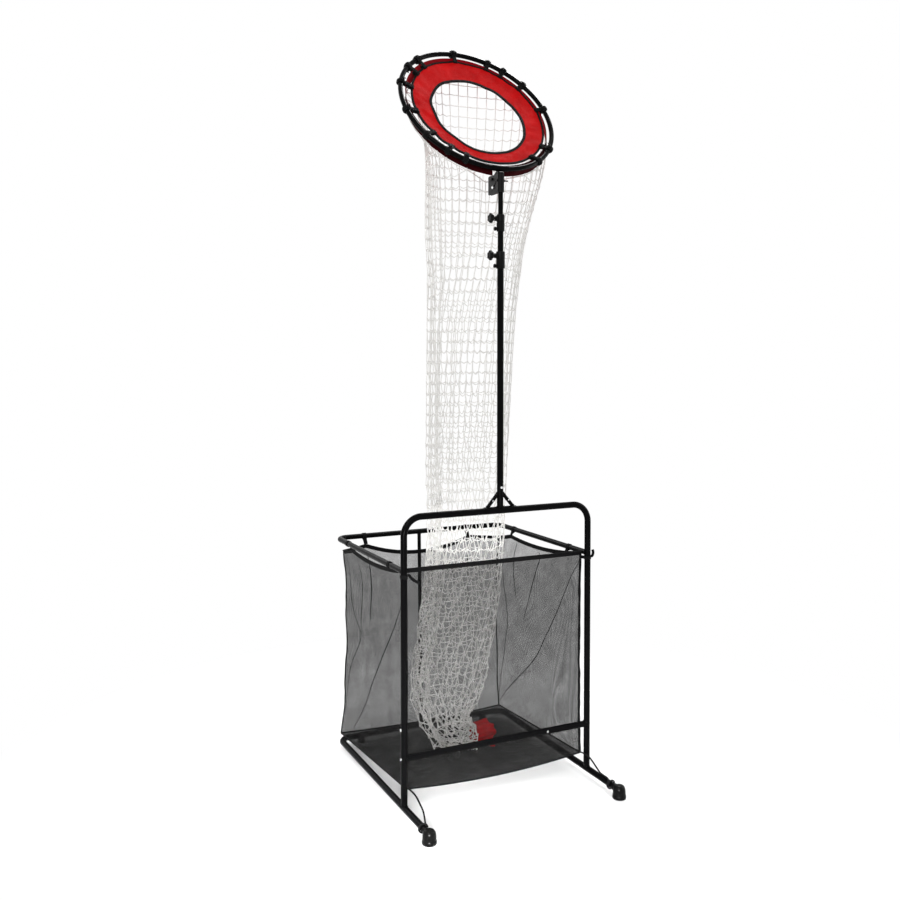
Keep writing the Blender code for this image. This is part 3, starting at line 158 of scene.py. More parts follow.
def camera():
    yaw, pitch = radians(25.76), radians(-1.81)
    ahead = Vector((sin(yaw) * cos(pitch), cos(yaw) * cos(pitch), sin(pitch)))
    right = Vector((cos(yaw), -sin(yaw), 0))
    data = bpy.data.cameras.new("camera")
    data.sensor_width = 36
    data.lens = 38.33
    data.shift_y = -0.0661
    made = placed("camera", data)
    turn = Matrix((right, right.cross(ahead), -ahead)).transposed().to_4x4()
    made.matrix_world = Matrix.Translation((-1.7593, -3.45565, 1.6780)) @ turn
    bpy.context.scene.camera = made


# Finishes

class Nodes:
    """A node tree under construction."""

    def __init__(self, tree):
        self.tree = tree

    def node(self, kind, inputs=(), out=0, **properties):
        made = self.tree.nodes.new("ShaderNode" + kind)
        for name, value in properties.items():
            setattr(made, name, value)
        for key, value in dict(inputs).items():
            if isinstance(value, bpy.types.NodeSocket):
                self.tree.links.new(value, made.inputs[key])
            else:
                made.inputs[key].default_value = value
        return made.outputs[out]

    def mix_shaders(self, share, first, second):
        return self.node("MixShader", {0: share, 1: first, 2: second})


class Finish(Nodes):
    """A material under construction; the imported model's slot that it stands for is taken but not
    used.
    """

    def __init__(self, name, slot="", **sockets):
        self.material = bpy.data.materials.new(name)
        self.material.use_nodes = True
        super().__init__(self.material.node_tree)
        self.shader = self.tree.nodes["Principled BSDF"]
        for socket, value in sockets.items():
            self.shader.inputs[socket.replace("_", " ")].default_value = value

    def use(self, **sockets):
        for name, value in sockets.items():
            self.tree.links.new(value, self.shader.inputs[name.replace("_", " ")])
        return self.material

    def place(self, kind="Object"):
        return self.node("TexCoord", out=kind)

    def stretched(self, scale, kind="Object"):
        return self.node("Mapping", {"Vector": self.place(kind), "Scale": scale})

    def noise(self, scale, detail=2.0, where=None):
        where = where or self.place()
        return self.node("TexNoise", {"Vector": where, "Scale": scale, "Detail": detail})

    def math(self, operation, a, b=0.0):
        return self.node("Math", {0: a, 1: b}, operation=operation)

    def ranged(self, value, low, high, start=0.0, end=1.0):
        return self.node("MapRange", {
            "Value": value, "From Min": start, "From Max": end, "To Min": low, "To Max": high,
        })

    def spread(self, value, low, high):
        """A noise, which keeps near its middle, brought between two values."""
        return self.ranged(value, low, high, 0.3, 0.7)

    def mixed(self, share, first, second):
        return self.node("Mix", {0: share, 6: (*first, 1), 7: (*second, 1)}, 2, data_type="RGBA")

    def bump(self, height, distance, strength=1.0, under=None):
        inputs = {"Height": height, "Distance": distance, "Strength": strength}
        if under is not None:
            inputs["Normal"] = under
        return self.node("Bump", inputs)

    def measured(self, axis):
        """A coordinate in metres along or across the piece."""
        return self.node("SeparateXYZ", {0: self.place("UV")}, axis)

    def weave(self, *pitches):
        """Sine waves of two pitches that cross each other."""
        waves = [self.math("SINE", self.math("MULTIPLY", self.measured(axis), 2 * pi / pitch))
                 for axis, pitch in enumerate(pitches)]
        return self.math("MULTIPLY", *waves)


def painted(name, slot, low, high, rough, grain, depth, **sockets):
    """A finish with a fine even grain, faint uneven colour and uneven gloss."""
    made = Finish(name, slot, **sockets)
    return made.use(
        Base_Color=made.mixed(made.noise(14, 3), low, high),
        Roughness=made.spread(made.noise(45, 4), *rough),
        Normal=made.bump(made.noise(grain, 2), depth),
    )


PAINT = painted("powder coat", "powder_coat", (0.0010, 0.0010, 0.0011), (0.0024, 0.0024, 0.0026),
                (0.16, 0.28), 900, 0.0001, Specular_IOR_Level=0.035)
PLASTIC = painted("moulded plastic", "black_plastic", (0.0022,) * 3, (0.0050,) * 3, (0.32, 0.48),
                  2400, 0.0001, Specular_IOR_Level=0.07)
RUBBER = painted("moulded rubber", "black_rubber", (0.0020,) * 3, (0.0045,) * 3, (0.20, 0.32),
                 700, 0.00008, Specular_IOR_Level=0.08)
ZINC = painted("zinc plate", "zinc", (0.62, 0.63, 0.64), (0.80,) * 3, (0.22, 0.40), 1500, 0.00005,
               Metallic=1.0)
# A dark matt finish for the screws' cross recesses: the shade inside each recess is painted.
RECESS_SHADE = painted("screw recess painted shade", "zinc", (0.02,) * 3, (0.05,) * 3, (0.5, 0.7), 900, 0.00005)


def bracket_plate():
    made = Finish("oiled steel plate", "bracket_plate", Specular_IOR_Level=0.07)
    scratch = made.noise(1, 3, made.stretched((60, 60, 1600)))
    return made.use(
        Base_Color=made.mixed(made.noise(60, 4), (0.0025, 0.0025, 0.003), (0.0105, 0.010, 0.010)),
        Roughness=made.spread(scratch, 0.30, 0.55),
        Normal=made.bump(scratch, 0.00012),
    )


def webbing():
    made = Finish("black webbing", "black_webbing", Specular_IOR_Level=0.06, Sheen_Weight=0.01)
    weave = made.weave(0.00140, 0.00175)
    fuzz = made.noise(1300, 3)
    # Colour follows the weave's height: the hollows between threads are painted darker, as shade.
    return made.use(
        Base_Color=made.mixed(made.ranged(weave, 0, 1, -0.8, 0.9), (0.0016, 0.0016, 0.0018),
                              (0.0060, 0.0060, 0.0064)),
        Roughness=made.spread(fuzz, 0.62, 0.88),
        Normal=made.bump(weave, 0.0003, 0.8, made.bump(fuzz, 0.0001)),
    )


def stranded(name, slot, low, high, strands, lay, depth, rough, shine):
    """A laid cord: u is the share of the way round, v the length in metres."""
    made = Finish(name, slot, Specular_IOR_Level=shine)
    phase = made.math("ADD", made.math("MULTIPLY", made.measured(0), strands * pi),
                      made.math("MULTIPLY", made.measured(1), strands * pi / lay))
    ridge = made.math("ABSOLUTE", made.math("SINE", phase))
    fuzz = made.noise(1600, 3)
    # Colour follows the strands' ridges: the grooves between strands are painted darker as shade,
    # and a noise makes the tone uneven along the cord.
    return made.use(
        Base_Color=made.mixed(made.math("MULTIPLY", ridge, made.spread(made.noise(25, 3), 0.7, 1.0)),
                              low, high),
        Roughness=made.spread(fuzz, *rough),
        Normal=made.bump(ridge, depth, 0.9, made.bump(fuzz, depth * 0.3)),
    )


def cloth(name, slot, low, high, folds=0.0008, pitch=0.0011):
    """Woven cloth with a plain weave, soft creases and a little fading along its threads; its colour
    is also painted darker in the creases' hollows and between the threads, as shade.
    """
    made = Finish(name, slot, Specular_IOR_Level=0.05)
    weave = made.weave(pitch, pitch)
    soft = made.noise(16, 4)
    threads = made.noise(420, 2, made.stretched((1, 4, 1), "UV"))
    # The creases' hollows and the gaps between threads are painted darker here as shade; the thread
    # noise adds a little fading.
    tone_and_shade = made.math("ADD", made.ranged(soft, 0, 0.7, 0.25, 0.75),
                     made.math("ADD", made.ranged(weave, 0, 0.18, -0.8, 0.8),
                               made.spread(threads, 0, 0.15)))
    return made.use(
        Base_Color=made.mixed(tone_and_shade, low, high),
        Roughness=made.spread(threads, 0.62, 0.82),
        Normal=made.bump(soft, folds, 0.7, made.bump(weave, 0.00012, 0.6)),
    )


def open_mesh(name, hole, thread):
    """Knitted mesh cloth with staggered holes, see-through by its alpha."""
    made = Finish(name, "mesh_fabric", Specular_IOR_Level=0.05)
    holes = made.weave(0.0024, 0.0032)
    uneven = made.noise(18, 3)
    return made.use(
        Base_Color=made.mixed(made.spread(uneven, 0, 1), (0.003, 0.003, 0.003),
                              (0.008, 0.008, 0.0078)),
        Roughness=made.spread(made.noise(700, 2), 0.75, 0.95),
        Alpha=made.math("ADD", made.ranged(holes, thread, hole, -0.25, 0.35),
                        made.spread(uneven, -0.05, 0.05)),
        Normal=made.bump(holes, 0.0002, 0.5),
    )


PLATE = bracket_plate()
WEBBING = webbing()
NET_WHITE = stranded("net cord", "net_cord", (0.74, 0.72, 0.69), (0.93, 0.925, 0.91), 3, 0.010,
                     0.0004, (0.65, 0.85), 0.2)
LACE = stranded("lacing cord", "black_webbing", (0.0015,) * 3, (0.008, 0.008, 0.0085), 4, 0.011,
                0.0005, (0.55, 0.80), 0.10)
RED = cloth("red fabric", "red_fabric", (0.33, 0.0020, 0.0025), (0.57, 0.0050, 0.0060), 0.005)
DARK_RED = cloth("dark red fabric", "dark_red_fabric", (0.14, 0.001, 0.004), (0.26, 0.003, 0.007))
# A darker copy of the band's fabric for the band's outside: its shade is painted.
BAND_SHADE_RED = cloth("band fabric in painted shade", "dark_red_fabric", (0.020, 0.001, 0.002), (0.046, 0.001, 0.003))
CUFF_RED = cloth("cuff fabric", "dark_red_fabric", (0.24, 0.0025, 0.0035), (0.42, 0.0050, 0.0070))
MESH = open_mesh("mesh fabric", 0.32, 0.86)
DENSE_MESH = open_mesh("dense mesh fabric", 0.80, 0.97)


# Shapes

class Shape:
    """Points, faces and measured coordinates of one piece, gathered before it is made."""

    def __init__(self):
        self.points = []
        self.faces = []
        self.uvs = []
        self.marks = []

    def grid(self, rows, round_rows=False, round_all=False, us=None, vs=None, mark=0):
        """Quads over rows of points, joined round each row or from the last row to the first."""
        first = len(self.points)
        high, wide = len(rows), len(rows[0])
        us = us or [c / wide for c in range(wide + 1)]
        vs = vs or [0.0] + list(lengths([row[0] for row in rows] + [rows[0][0]]))
        for row in rows:
            self.points += row
        for r in range(high if round_all else high - 1):
            s = (r + 1) % high
            for c in range(wide if round_rows else wide - 1):
                d = (c + 1) % wide
                self.faces.append([first + r * wide + c, first + r * wide + d,
                                   first + s * wide + d, first + s * wide + c])
                self.uvs += [(us[c], vs[r]), (us[c + 1], vs[r]),
                             (us[c + 1], vs[r + 1]), (us[c], vs[r + 1])]
                self.marks.append(mark)

    def cap(self, loop, mark=0):
        """One flat face over a closed loop of points."""
        first = len(self.points)
        self.points += loop
        self.faces.append(list(range(first, first + len(loop))))
        self.uvs += [(0.5, 0.0)] * len(loop)
        self.marks.append(mark)

    def loft(self, rows, closed=False, us=None, mark=0):
        """Rows joined round, with flat ends where the last one doesn't join the first."""
        self.grid(rows, True, closed, us=us, mark=mark)
        if not closed:
            self.cap(rows[0][::-1], mark)
            self.cap(rows[-1], mark)

    def make(self, name, materials, replaces=(), body="stand", angle=38, weld=0.00001):
        """The piece itself, welded and smoothed, riding on a body where one is given."""
        mesh = bpy.data.meshes.new(name)
        mesh.from_pydata([tuple(p) for p in self.points], [], self.faces)
        layer = mesh.uv_layers.new(name="size")
        layer.data.foreach_set("uv", [value for uv in self.uvs for value in uv])
        mesh.polygons.foreach_set("material_index", self.marks)
        for surface in materials:
            mesh.materials.append(surface)
        if weld:
            bm = bmesh.new()
            bm.from_mesh(mesh)
            bmesh.ops.remove_doubles(bm, verts=bm.verts, dist=weld)
            bmesh.ops.dissolve_degenerate(bm, edges=bm.edges, dist=weld)
            bmesh.ops.recalc_face_normals(bm, faces=bm.faces)
            bm.to_mesh(mesh)
            bm.free()
        mesh.shade_smooth()
        mesh.set_sharp_from_angle(angle=radians(angle))
        made = placed(name, mesh)
        if body:
            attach(made, body)
        if replaces:
            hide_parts(*replaces)
        return made


def lengths(points):
    """Running length along a line of points, from its second point on."""
    run = 0.0
    for a, b in zip(points, points[1:]):
        run += (b - a).length
        yield run


def directions(points, closed=False):
    count = len(points)
    ways = []
    for i in range(count):
        before = points[i - 1] if closed or i else points[0]
        after = points[(i + 1) % count] if closed or i < count - 1 else points[-1]
        ways.append((after - before).normalized())
    return ways


def sides_of(ways, side=None):
    """A side direction at each point: given ones squared up, or one carried with least turning."""
    if isinstance(side, list):
        return [(s - s.dot(way) * way).normalized() for s, way in zip(side, ways)]
    carried = side or ways[0].orthogonal()
    found = []
    for way in ways:
        across = (carried - carried.dot(way) * way).normalized()
        found.append(across)
        if side is None:
            carried = across
    return found


def swept(points, section, closed=False, side=None, sizes=None):
    """Rows of points: a section of (side, lift) offsets carried along a line."""
    ways = directions(points, closed)
    rows = []
    for i, (point, way, across) in enumerate(zip(points, ways, sides_of(ways, side))):
        lift = way.cross(across)
        size = sizes[i] if sizes else 1.0
        rows.append([point + size * (a * across + b * lift) for a, b in section])
    return rows


def disc(radius, count):
    turns = [2 * pi * i / count for i in range(count)]
    return [(radius * cos(turn), radius * sin(turn)) for turn in turns]


def arc(centre, first, second, start, stop, steps):
    """Points along an arc, in degrees, from its two half axes."""
    turns = [radians(start + (stop - start) * i / steps) for i in range(steps + 1)]
    return [centre + first * cos(turn) + second * sin(turn) for turn in turns]


def flat(width, thickness):
    """The section of a webbing: a flat strip with rounded edges and a slightly raised middle."""
    w, t = width / 2, thickness / 2
    return [(-w, 0), (-w * 0.93, -t * 0.9), (-w * 0.4, -t), (w * 0.4, -t), (w * 0.93, -t * 0.9),
            (w, 0), (w * 0.93, t * 0.9), (w * 0.4, t), (-w * 0.4, t), (-w * 0.93, t * 0.9)]


def rope(shape, points, radius, count=8, closed=False, side=None, sizes=None):
    """A round cord or rod, closed by flat ends where it isn't a loop."""
    shape.loft(swept(points, disc(radius, count), closed, side, sizes), closed)


def strip(shape, points, width, thickness, side, closed=False, sizes=None):
    """A length of webbing whose width lies along a side direction."""
    section = flat(width, thickness)
    us = [0.0] + list(lengths([Vector((a, b, 0)) for a, b in section + section[:1]]))
    shape.loft(swept(points, section, closed, side, sizes), closed, us)


def pipe(shape, points, radius, wall=WALL, side=None, sizes=None):
    """A tube with open ends: its outside and its bore."""
    outer, inner = [swept(points, disc(size, 32), False, side, sizes)
                    for size in (radius, radius - wall)]
    shape.grid(outer + inner[::-1], True, True)


def turned(shape, profile, axis, centre, count=32, closed=False, wave=None):
    """A turned shape from (radius, height) points; wave(turn, radius) scales its radius."""
    way = axis.normalized()
    first = way.orthogonal().normalized()
    if abs(way.z) < 0.5:
        first = (UP - UP.dot(way) * way).normalized()
    second = way.cross(first)
    rows = []
    for radius, height in profile:
        row = []
        for i in range(count):
            turn = 2 * pi * i / count
            size = radius * (wave(turn, radius) if wave else 1)
            row.append(centre + way * height + size * (cos(turn) * first + sin(turn) * second))
        rows.append(row)
    shape.grid(rows, True, closed)
    if not closed:
        for row in (rows[0], rows[-1]):
            if (row[0] - row[count // 2]).length > 0.0001:
                shape.cap(row)


def box(shape, middle, a, b, c, mark=0):
    """A small block from its middle and its three half edges."""
    shape.loft([[middle + x * a + y * b + z * c for x, y in SQUARE] for z in (-1, 1)], mark=mark)


def bent(corners, bend, steps=14):
    """A path through corner points, each inner corner rounded by a bend radius."""
    path = [corners[0]]
    for before, corner, after in zip(corners, corners[1:], corners[2:]):
        back = (before - corner).normalized()
        ahead = (after - corner).normalized()
        half = back.angle(ahead) / 2
        sweep = pi - 2 * half
        middle = corner + (back + ahead).normalized() * bend / sin(half)
        start = corner + back * bend * cos(half) / sin(half) - middle
        stop = corner + ahead * bend * cos(half) / sin(half) - middle
        for i in range(steps + 1):
            turn = sweep * i / steps
            path.append(middle + (start * sin(sweep - turn) + stop * sin(turn)) / sin(sweep))
    path.append(corners[-1])
    return path


def curved(points, steps=6):
    """A smooth line through points."""
    line = []
    for i in range(len(points) - 1):
        p0 = points[max(i - 1, 0)]
        p1, p2 = points[i], points[i + 1]
        p3 = points[min(i + 2, len(points) - 1)]
        for s in range(steps):
            t = s / steps
            line.append(0.5 * (2 * p1 + (p2 - p0) * t + (2 * p0 - 5 * p1 + 4 * p2 - p3) * t * t
                               + (3 * p1 - p0 - 3 * p2 + p3) * t ** 3))
    line.append(points[-1])
    return line


def bead(shape, centre, host, arm, host_radius, arm_radius, size=0.0019):
    """The weld round an arm that meets a round host, centre on the host's axis."""
    across = arm.cross(host)
    line = []
    for a, b in disc(1, 56):
        reach = sqrt(max(host_radius ** 2 - (arm_radius * b) ** 2, 0))
        line.append(centre + arm * (reach + 0.0004)
                    + (arm_radius + 0.0004) * (a * host + b * across))
    sizes = [1 + 0.16 * sin(i * pi / 1.5) + 0.12 * noise.noise(p * 300)
             for i, p in enumerate(line)]
    rope(shape, line, size, 8, True, sizes=sizes)


def two_faces(count):
    """Shares from 0 to 1 over a cloth's face and from 1 to 0 over its back, with 1 or -1."""
    shares = [k / count for k in range(count + 1)]
    return [(share, 1) for share in shares] + [(share, -1) for share in shares[::-1]]


# Tie cords, which come before the rest

TIE_CORD = 0.0032
LEFT_LEAD = (
    (0.379, 0.016, 0.094), (0.381, -0.020, 0.099), (0.386, -0.075, 0.103),
    (0.390, -0.120, 0.094), (0.392, -0.155, 0.080),
)
RIGHT_LEAD = (
    (0.379, 0.016, 0.094), (0.381, -0.015, 0.097), (0.385, -0.050, 0.090),
    (0.396, -0.078, 0.062), (0.400, -0.100, 0.0475), (0.398, -0.150, 0.0475),
)


def tie_route(side, lead):
    """From the basket's corner to a turn and a bit round the rail."""
    turns, pitch, count = 1.15, 0.0074, 60
    radius = TUBE + TIE_CORD + 0.0004
    wound = []
    for i in range(count + 1):
        angle = radians(45) - 2 * pi * turns * i / count
        wound.append(at(side * (HALF_WIDTH - radius * cos(angle)),
                        -0.165 - pitch * turns * i / count, RAIL_HEIGHT + radius * sin(angle)))
    run_in = [at(side * x, y, z) for x, y, z in lead]
    return curved(run_in + [wound[0], wound[3]], 8)[:-8] + wound


def tie_cords():
    for (side, word), lead in zip(SIDES, (LEFT_LEAD, RIGHT_LEAD)):
        route = tie_route(side, lead)
        shape = Shape()
        rope(shape, route, TIE_CORD, 12)
        made = shape.make(word + "_tie", [LACE], [word + "_tie_cord"])
        run = list(lengths(route))[-1]


# Metalwork

def painted_tube(name, node, line, radius=TUBE, side=None, welds=(), sizes=None, body="stand"):
    """A painted tube with its welds, each given by what bead takes."""
    shape = Shape()
    pipe(shape, line, radius, side=side, sizes=sizes)
    for weld in welds:
        bead(shape, *weld)
    shape.make(name, [PAINT], [node], body)


def lying_u(near, far, height, bend):
    """The axis of a U that lies flat, with its ends at the front."""
    places = ((-1, near), (-1, far), (1, far), (1, near))
    return bent([beside(side, y, height) for side, y in places], bend)


def front_frame():
    """The inverted U with its swaged ends in the lower legs."""
    shoulder = LEG_TOP + GAP
    left, right = [[beside(side, 0, z) for z in (LEG_TOP - LEG_PLUG, shoulder, shoulder + 0.005)]
                   for side in (-1, 1)]
    arch = bent([left[2], beside(-1, 0, FRAME_HEIGHT), beside(1, 0, FRAME_HEIGHT), right[2]],
                FRAME_BEND)
    plugs = [PLUG / TUBE] * 2
    painted_tube("front_frame_tube", "front_frame", left[:2] + arch + right[1::-1], side=BACK,
                 sizes=plugs + [1] * len(arch) + plugs)


def lower_frame():
    """Lower legs, cross-bar, base and their welds."""
    for side, word in SIDES:
        foot = beside(side, 0, RAIL_HEIGHT)
        painted_tube(word + "_lower_leg_tube", word + "_lower_leg",
                     [foot, beside(side, 0, LEG_TOP)], welds=[(foot, BACK, UP, TUBE, TUBE)])
    painted_tube("front_crossbar_tube", "front_crossbar",
                 [at(side * (HALF_WIDTH - TUBE * 0.4), 0, CROSSBAR_HEIGHT) for side in (-1, 1)],
                 welds=[(beside(side, 0, CROSSBAR_HEIGHT), UP, -side * ACROSS, TUBE, TUBE)
                        for side in (-1, 1)])
    painted_tube("base_frame_tube", "base_frame",
                 lying_u(-FOOT_REACH, BASE_DEPTH, RAIL_HEIGHT, BASE_BEND), side=UP)


def hoop_and_post():
    painted_tube("basket_hoop_tube", "basket_hoop",
                 lying_u(TUBE * 0.5, HOOP_DEPTH, HOOP_HEIGHT, HOOP_BEND), HOOP, UP,
                 [(beside(side, 0, HOOP_HEIGHT), UP, BACK, TUBE, HOOP) for side in (-1, 1)])
    low = at(POST_OFFSET, BASE_DEPTH, RAIL_HEIGHT)
    high = at(POST_OFFSET, HOOP_DEPTH, HOOP_HEIGHT)
    way = (high - low).normalized()
    painted_tube("rear_post_tube", "rear_post", [low + way * 0.004, high - way * 0.004], POST,
                 welds=[(low, ACROSS, way, TUBE, POST, 0.0016),
                        (high, ACROSS, -way, HOOP, POST, 0.0016)])


def mast_socket():
    """The stub on its saddle with two struts, welded over the top bar."""
    middle = at(0, 0, FRAME_HEIGHT)
    outer, inner = TUBE + 0.0028, TUBE + GAP
    turns = [radians(-15 + 210 * i / 28) for i in range(29)]
    section = [(outer * cos(t), outer * sin(t)) for t in turns]
    section += [(inner * cos(t), inner * sin(t)) for t in turns[::-1]]
    shape = Shape()
    shape.loft(swept([middle - ACROSS * 0.068, middle + ACROSS * 0.068], section, side=BACK))
    pipe(shape, [middle + UP * TUBE, at(0, 0, SOCKET_TOP)], TUBE)
    bead(shape, middle, ACROSS, UP, outer, TUBE)
    bar_top = FRAME_HEIGHT + TUBE
    for side in (-1, 1):
        low = at(side * STRUT_SPREAD, 0, bar_top)
        high = at(side * 0.0075, 0, bar_top + STRUT_RISE)
        rope(shape, [low, high], 0.007, 20)
        way = (high - low).normalized()
        for centre, arm, radius in ((low, way, 0.0035), (high, -way, 0.005)):
            across = arm.cross(BACK).normalized()
            ring = [centre + arm * radius + 0.0072 * (a * across + b * BACK)
                    for a, b in disc(1, 40)]
            rope(shape, ring, 0.0015, 6, True)
    shape.make("mast_socket_stub", [PAINT], ["mast_socket"])


def mast_tubes():
    shoulder, foot = SOCKET_TOP + GAP, SOCKET_TOP - 0.055
    profile = [
        (TUBE, LOWER_TUBE_TOP), (TUBE, shoulder + 0.0025), (PLUG, shoulder), (PLUG, foot),
        (PLUG - WALL, foot), (PLUG - WALL, shoulder), (TUBE - WALL, shoulder + 0.005),
        (TUBE - WALL, LOWER_TUBE_TOP),
    ]
    shape = Shape()
    turned(shape, profile, UP, at(0, 0, 0), closed=True)
    shape.make("mast_lower", [PAINT], ["mast_lower_tube"])
    for word, base, length, radius in (
            ("middle", 1.575, 0.620, MIDDLE_TUBE), ("upper", 1.826, 0.560, UPPER_TUBE)):
        low = at(0, 0, base)
        painted_tube("mast_" + word, f"mast_{word}_tube", [low, low + UP * length], radius,
                     body="mast_" + word)


def lobes(turn, radius):
    """A knob's six lobes, which fade out towards its hub."""
    depth = 0.09 * limited((radius - 0.0068) / 0.008)
    return 1 - depth + depth * cos(6 * turn)


def knurl(turn, radius):
    return 1 + (0.030 * cos(22 * turn) if radius > 0.0062 else 0)


def collars():
    """Each clamp collar with its bosses, its lobed knob and its pull pin."""
    for word, base, carrier, runner in COLLARS:
        seat, guide = carrier + GAP, runner + GAP
        outer = seat + 0.0040
        knob_place, pin_place = at(0, 0, base + 0.048), at(0, 0, base + 0.009)
        profile = [
            (outer - 0.0016, 0.064), (outer - 0.0006, 0.0635), (outer, 0.0625), (outer, 0.0345),
            (outer - 0.0009, 0.0335), (outer - 0.0009, 0.0320), (outer, 0.0310), (outer, 0.0015),
            (outer - 0.0005, 0.0004), (outer - 0.0015, 0.0), (seat, 0.0), (seat, 0.0293),
            (guide, 0.0293), (guide, 0.064),
        ]
        shape = Shape()
        turned(shape, profile, UP, at(0, 0, base), 48, closed=True)
        turned(shape, [(0.0053, outer + 0.010), (0.0061, outer + 0.0097), (0.0065, outer + 0.009),
                       (0.0065, seat + 0.001)], -ACROSS, knob_place, 28)
        turned(shape, [(0.0046, outer + 0.003), (0.0055, outer + 0.0022), (0.0055, seat + 0.001)],
               -ACROSS, pin_place, 28)
        for fin in (-1, 1):
            box(shape, knob_place + Vector((-outer - 0.003, fin * 0.0072, 0)),
                ACROSS * 0.0045, BACK * 0.0012, UP * 0.009)
        shape.make(word + "_collar", [PLASTIC], [word + "_clamp_collar"],
                   "stand" if word == "lower" else "mast_middle")
        face = outer + 0.0103
        neck, back = face + 0.0090, face + 0.0230
        r = 0.019
        knob = [
            (0.0, back - 0.0012), (r * 0.36, back - 0.0012), (r * 0.40, back - 0.0002),
            (r * 0.66, back), (r * 0.82, back - 0.0006), (r * 0.93, back - 0.0018),
            (r, back - 0.0038), (r, neck + 0.0035), (r * 0.94, neck + 0.0014),
            (r * 0.82, neck + 0.0003), (r * 0.45, neck), (0.0064, neck - 0.0010),
            (0.0058, face + 0.0012), (0.0054, face), (0.0030, face), (0.0030, guide), (0.0, guide),
        ]
        face = outer + 0.0035
        r = 0.0075
        pin = [
            (0.0, face + 0.0085), (r * 0.55, face + 0.0085), (r * 0.88, face + 0.0078),
            (r, face + 0.0062), (r, face + 0.0022), (r * 0.9, face + 0.0008), (r * 0.7, face),
            (0.0025, face), (0.0025, guide), (0.0, guide),
        ]
        for kind, node, profile, place, count, wave in (
                ("_knob", "_clamp_knob", knob, knob_place, 96, lobes),
                ("_pin", "_pull_pin", pin, pin_place, 88, knurl)):
            shape = Shape()
            turned(shape, profile, -ACROSS, place, count, wave=wave)
            shape.make(word + kind, [PLASTIC], [word + node], word + kind)


def screw_head(shape, seat, outward, length, radius=0.0050, high=0.0025):
    """A domed head on a plain shank, with a thin dark cross on its top as the painted shade of a
    cross recess.
    """
    profile = [
        (0.0, high), (radius * 0.45, high * 0.98), (radius * 0.78, high * 0.80),
        (radius * 0.96, high * 0.42), (radius, high * 0.12), (radius * 0.97, 0.0),
        (0.0025, 0.0), (0.0025, -length), (0.0, -length),
    ]
    turned(shape, profile, outward, seat, 32)
    first = UP if abs(outward.z) < 0.5 else ACROSS
    second = outward.cross(first).normalized()
    # The recess isn't cut: two thin boxes in the painted recess shade lie across the dome's top.
    for a, b in ((first, second), (second, first)):
        box(shape, seat + outward * high * 0.93, a * radius * 0.50, b * radius * 0.11,
            outward * high * 0.10, 1)


def screws():
    for side, word in SIDES:
        for kind, height, length in (
                ("leg", LEG_SCREW_HEIGHT, 0.010), ("crossbar", CROSSBAR_HEIGHT, 0.036)):
            shape = Shape()
            seat = at(side * (HALF_WIDTH + TUBE + GAP), 0, height)
            screw_head(shape, seat, side * ACROSS, length)
            shape.make(f"{word}_{kind}_fastener", [ZINC, RECESS_SHADE], [f"{word}_{kind}_screw"])
    shape = Shape()
    screw_head(shape, at(0, -TUBE - GAP, SOCKET_TOP - 0.012), -BACK, 0.010)
    shape.make("socket_fastener", [ZINC, RECESS_SHADE], ["socket_screw"])
    shape = Shape()
    for side in (-1, 1):
        screw_head(shape, at(side * 0.034, -0.0066, FRAME_HEIGHT + TUBE + 0.026), -BACK, 0.002,
                   0.0032, 0.0018)
    screw_head(shape, at(0.209, -TUBE + 0.0002, CROSSBAR_HEIGHT + 0.002), -BACK, 0.002, 0.0042)
    shape.make("frame_rivets", [ZINC, RECESS_SHADE])


def through_bolt(name, node, body, surface, middle, shank, half_grip, tip, head):
    """A hexagon bolt along X with its nut on the right."""
    high = 0.004
    start, end = half_grip + GAP, half_grip + high
    shape = Shape()
    for way in (-1, 1):
        profile = [(0.0, start + high), (head * 0.80, start + high), (head, start + high * 0.72),
                   (head, start), (0.0, start)]
        turned(shape, profile, way * ACROSS, middle, 6)
    profile = [(0.0, end + tip), (shank * 0.75, end + tip), (shank, end + tip - 0.0006),
               (shank, 0.001 - end), (0.0, 0.001 - end)]
    turned(shape, profile, ACROSS, middle, 24)
    shape.make(name, [surface], [node], body)


def bracket_bolts():
    grip = 0.0063
    through_bolt("pivot_bolt", "tilt_pivot_bolt", "mast_upper", PLATE, PIVOT, 0.003, grip, 0.002,
                 0.0060)
    through_bolt("cross_bolt", "sleeve_bolt", "mast_upper", PLATE, at(0, 0, SLEEVE_TOP - 0.030),
                 0.0025, 0.0135, 0.014, 0.0045)
    through_bolt("lock_bolt", "tilt_lock_bolt", "ring_head", ZINC, LOCK, 0.003, grip, 0.002,
                 0.0060)


def ring_metal():
    """The ring's tube, and the ferrule with its lug."""
    shape = Shape()
    loop = [ring_point(360 * i / 160, RING_RADIUS) for i in range(160)]
    rope(shape, loop, RING_TUBE, 24, True, side=OUT_OF_RING)
    shape.make("ring_hoop", [PAINT], ["ring_tube"], "ring_head")
    shape = Shape()
    half = degrees(0.035 / RING_RADIUS)
    loop = [ring_point(-90 + half * i / 8, RING_RADIUS) for i in range(-8, 9)]
    pipe(shape, loop, RING_TUBE + 0.0021, FERRULE_WALL, side=OUT_OF_RING,
         sizes=[0.96] + [1.0] * 15 + [0.96])
    reach = (PIVOT - RING_FOOT).normalized()
    root = RING_FOOT + reach * (RING_TUBE + GAP + FERRULE_WALL * 0.4 + 0.0075)
    outline = hull([(root, 0.0075), (PIVOT, 0.010), (LOCK, 0.007)])
    shape.loft([[Vector((x, a, b)) for a, b in outline] for x in (-0.0030, 0.0030)])
    shape.make("ring_joint", [PAINT], ["ring_ferrule"], "ring_head", angle=30)


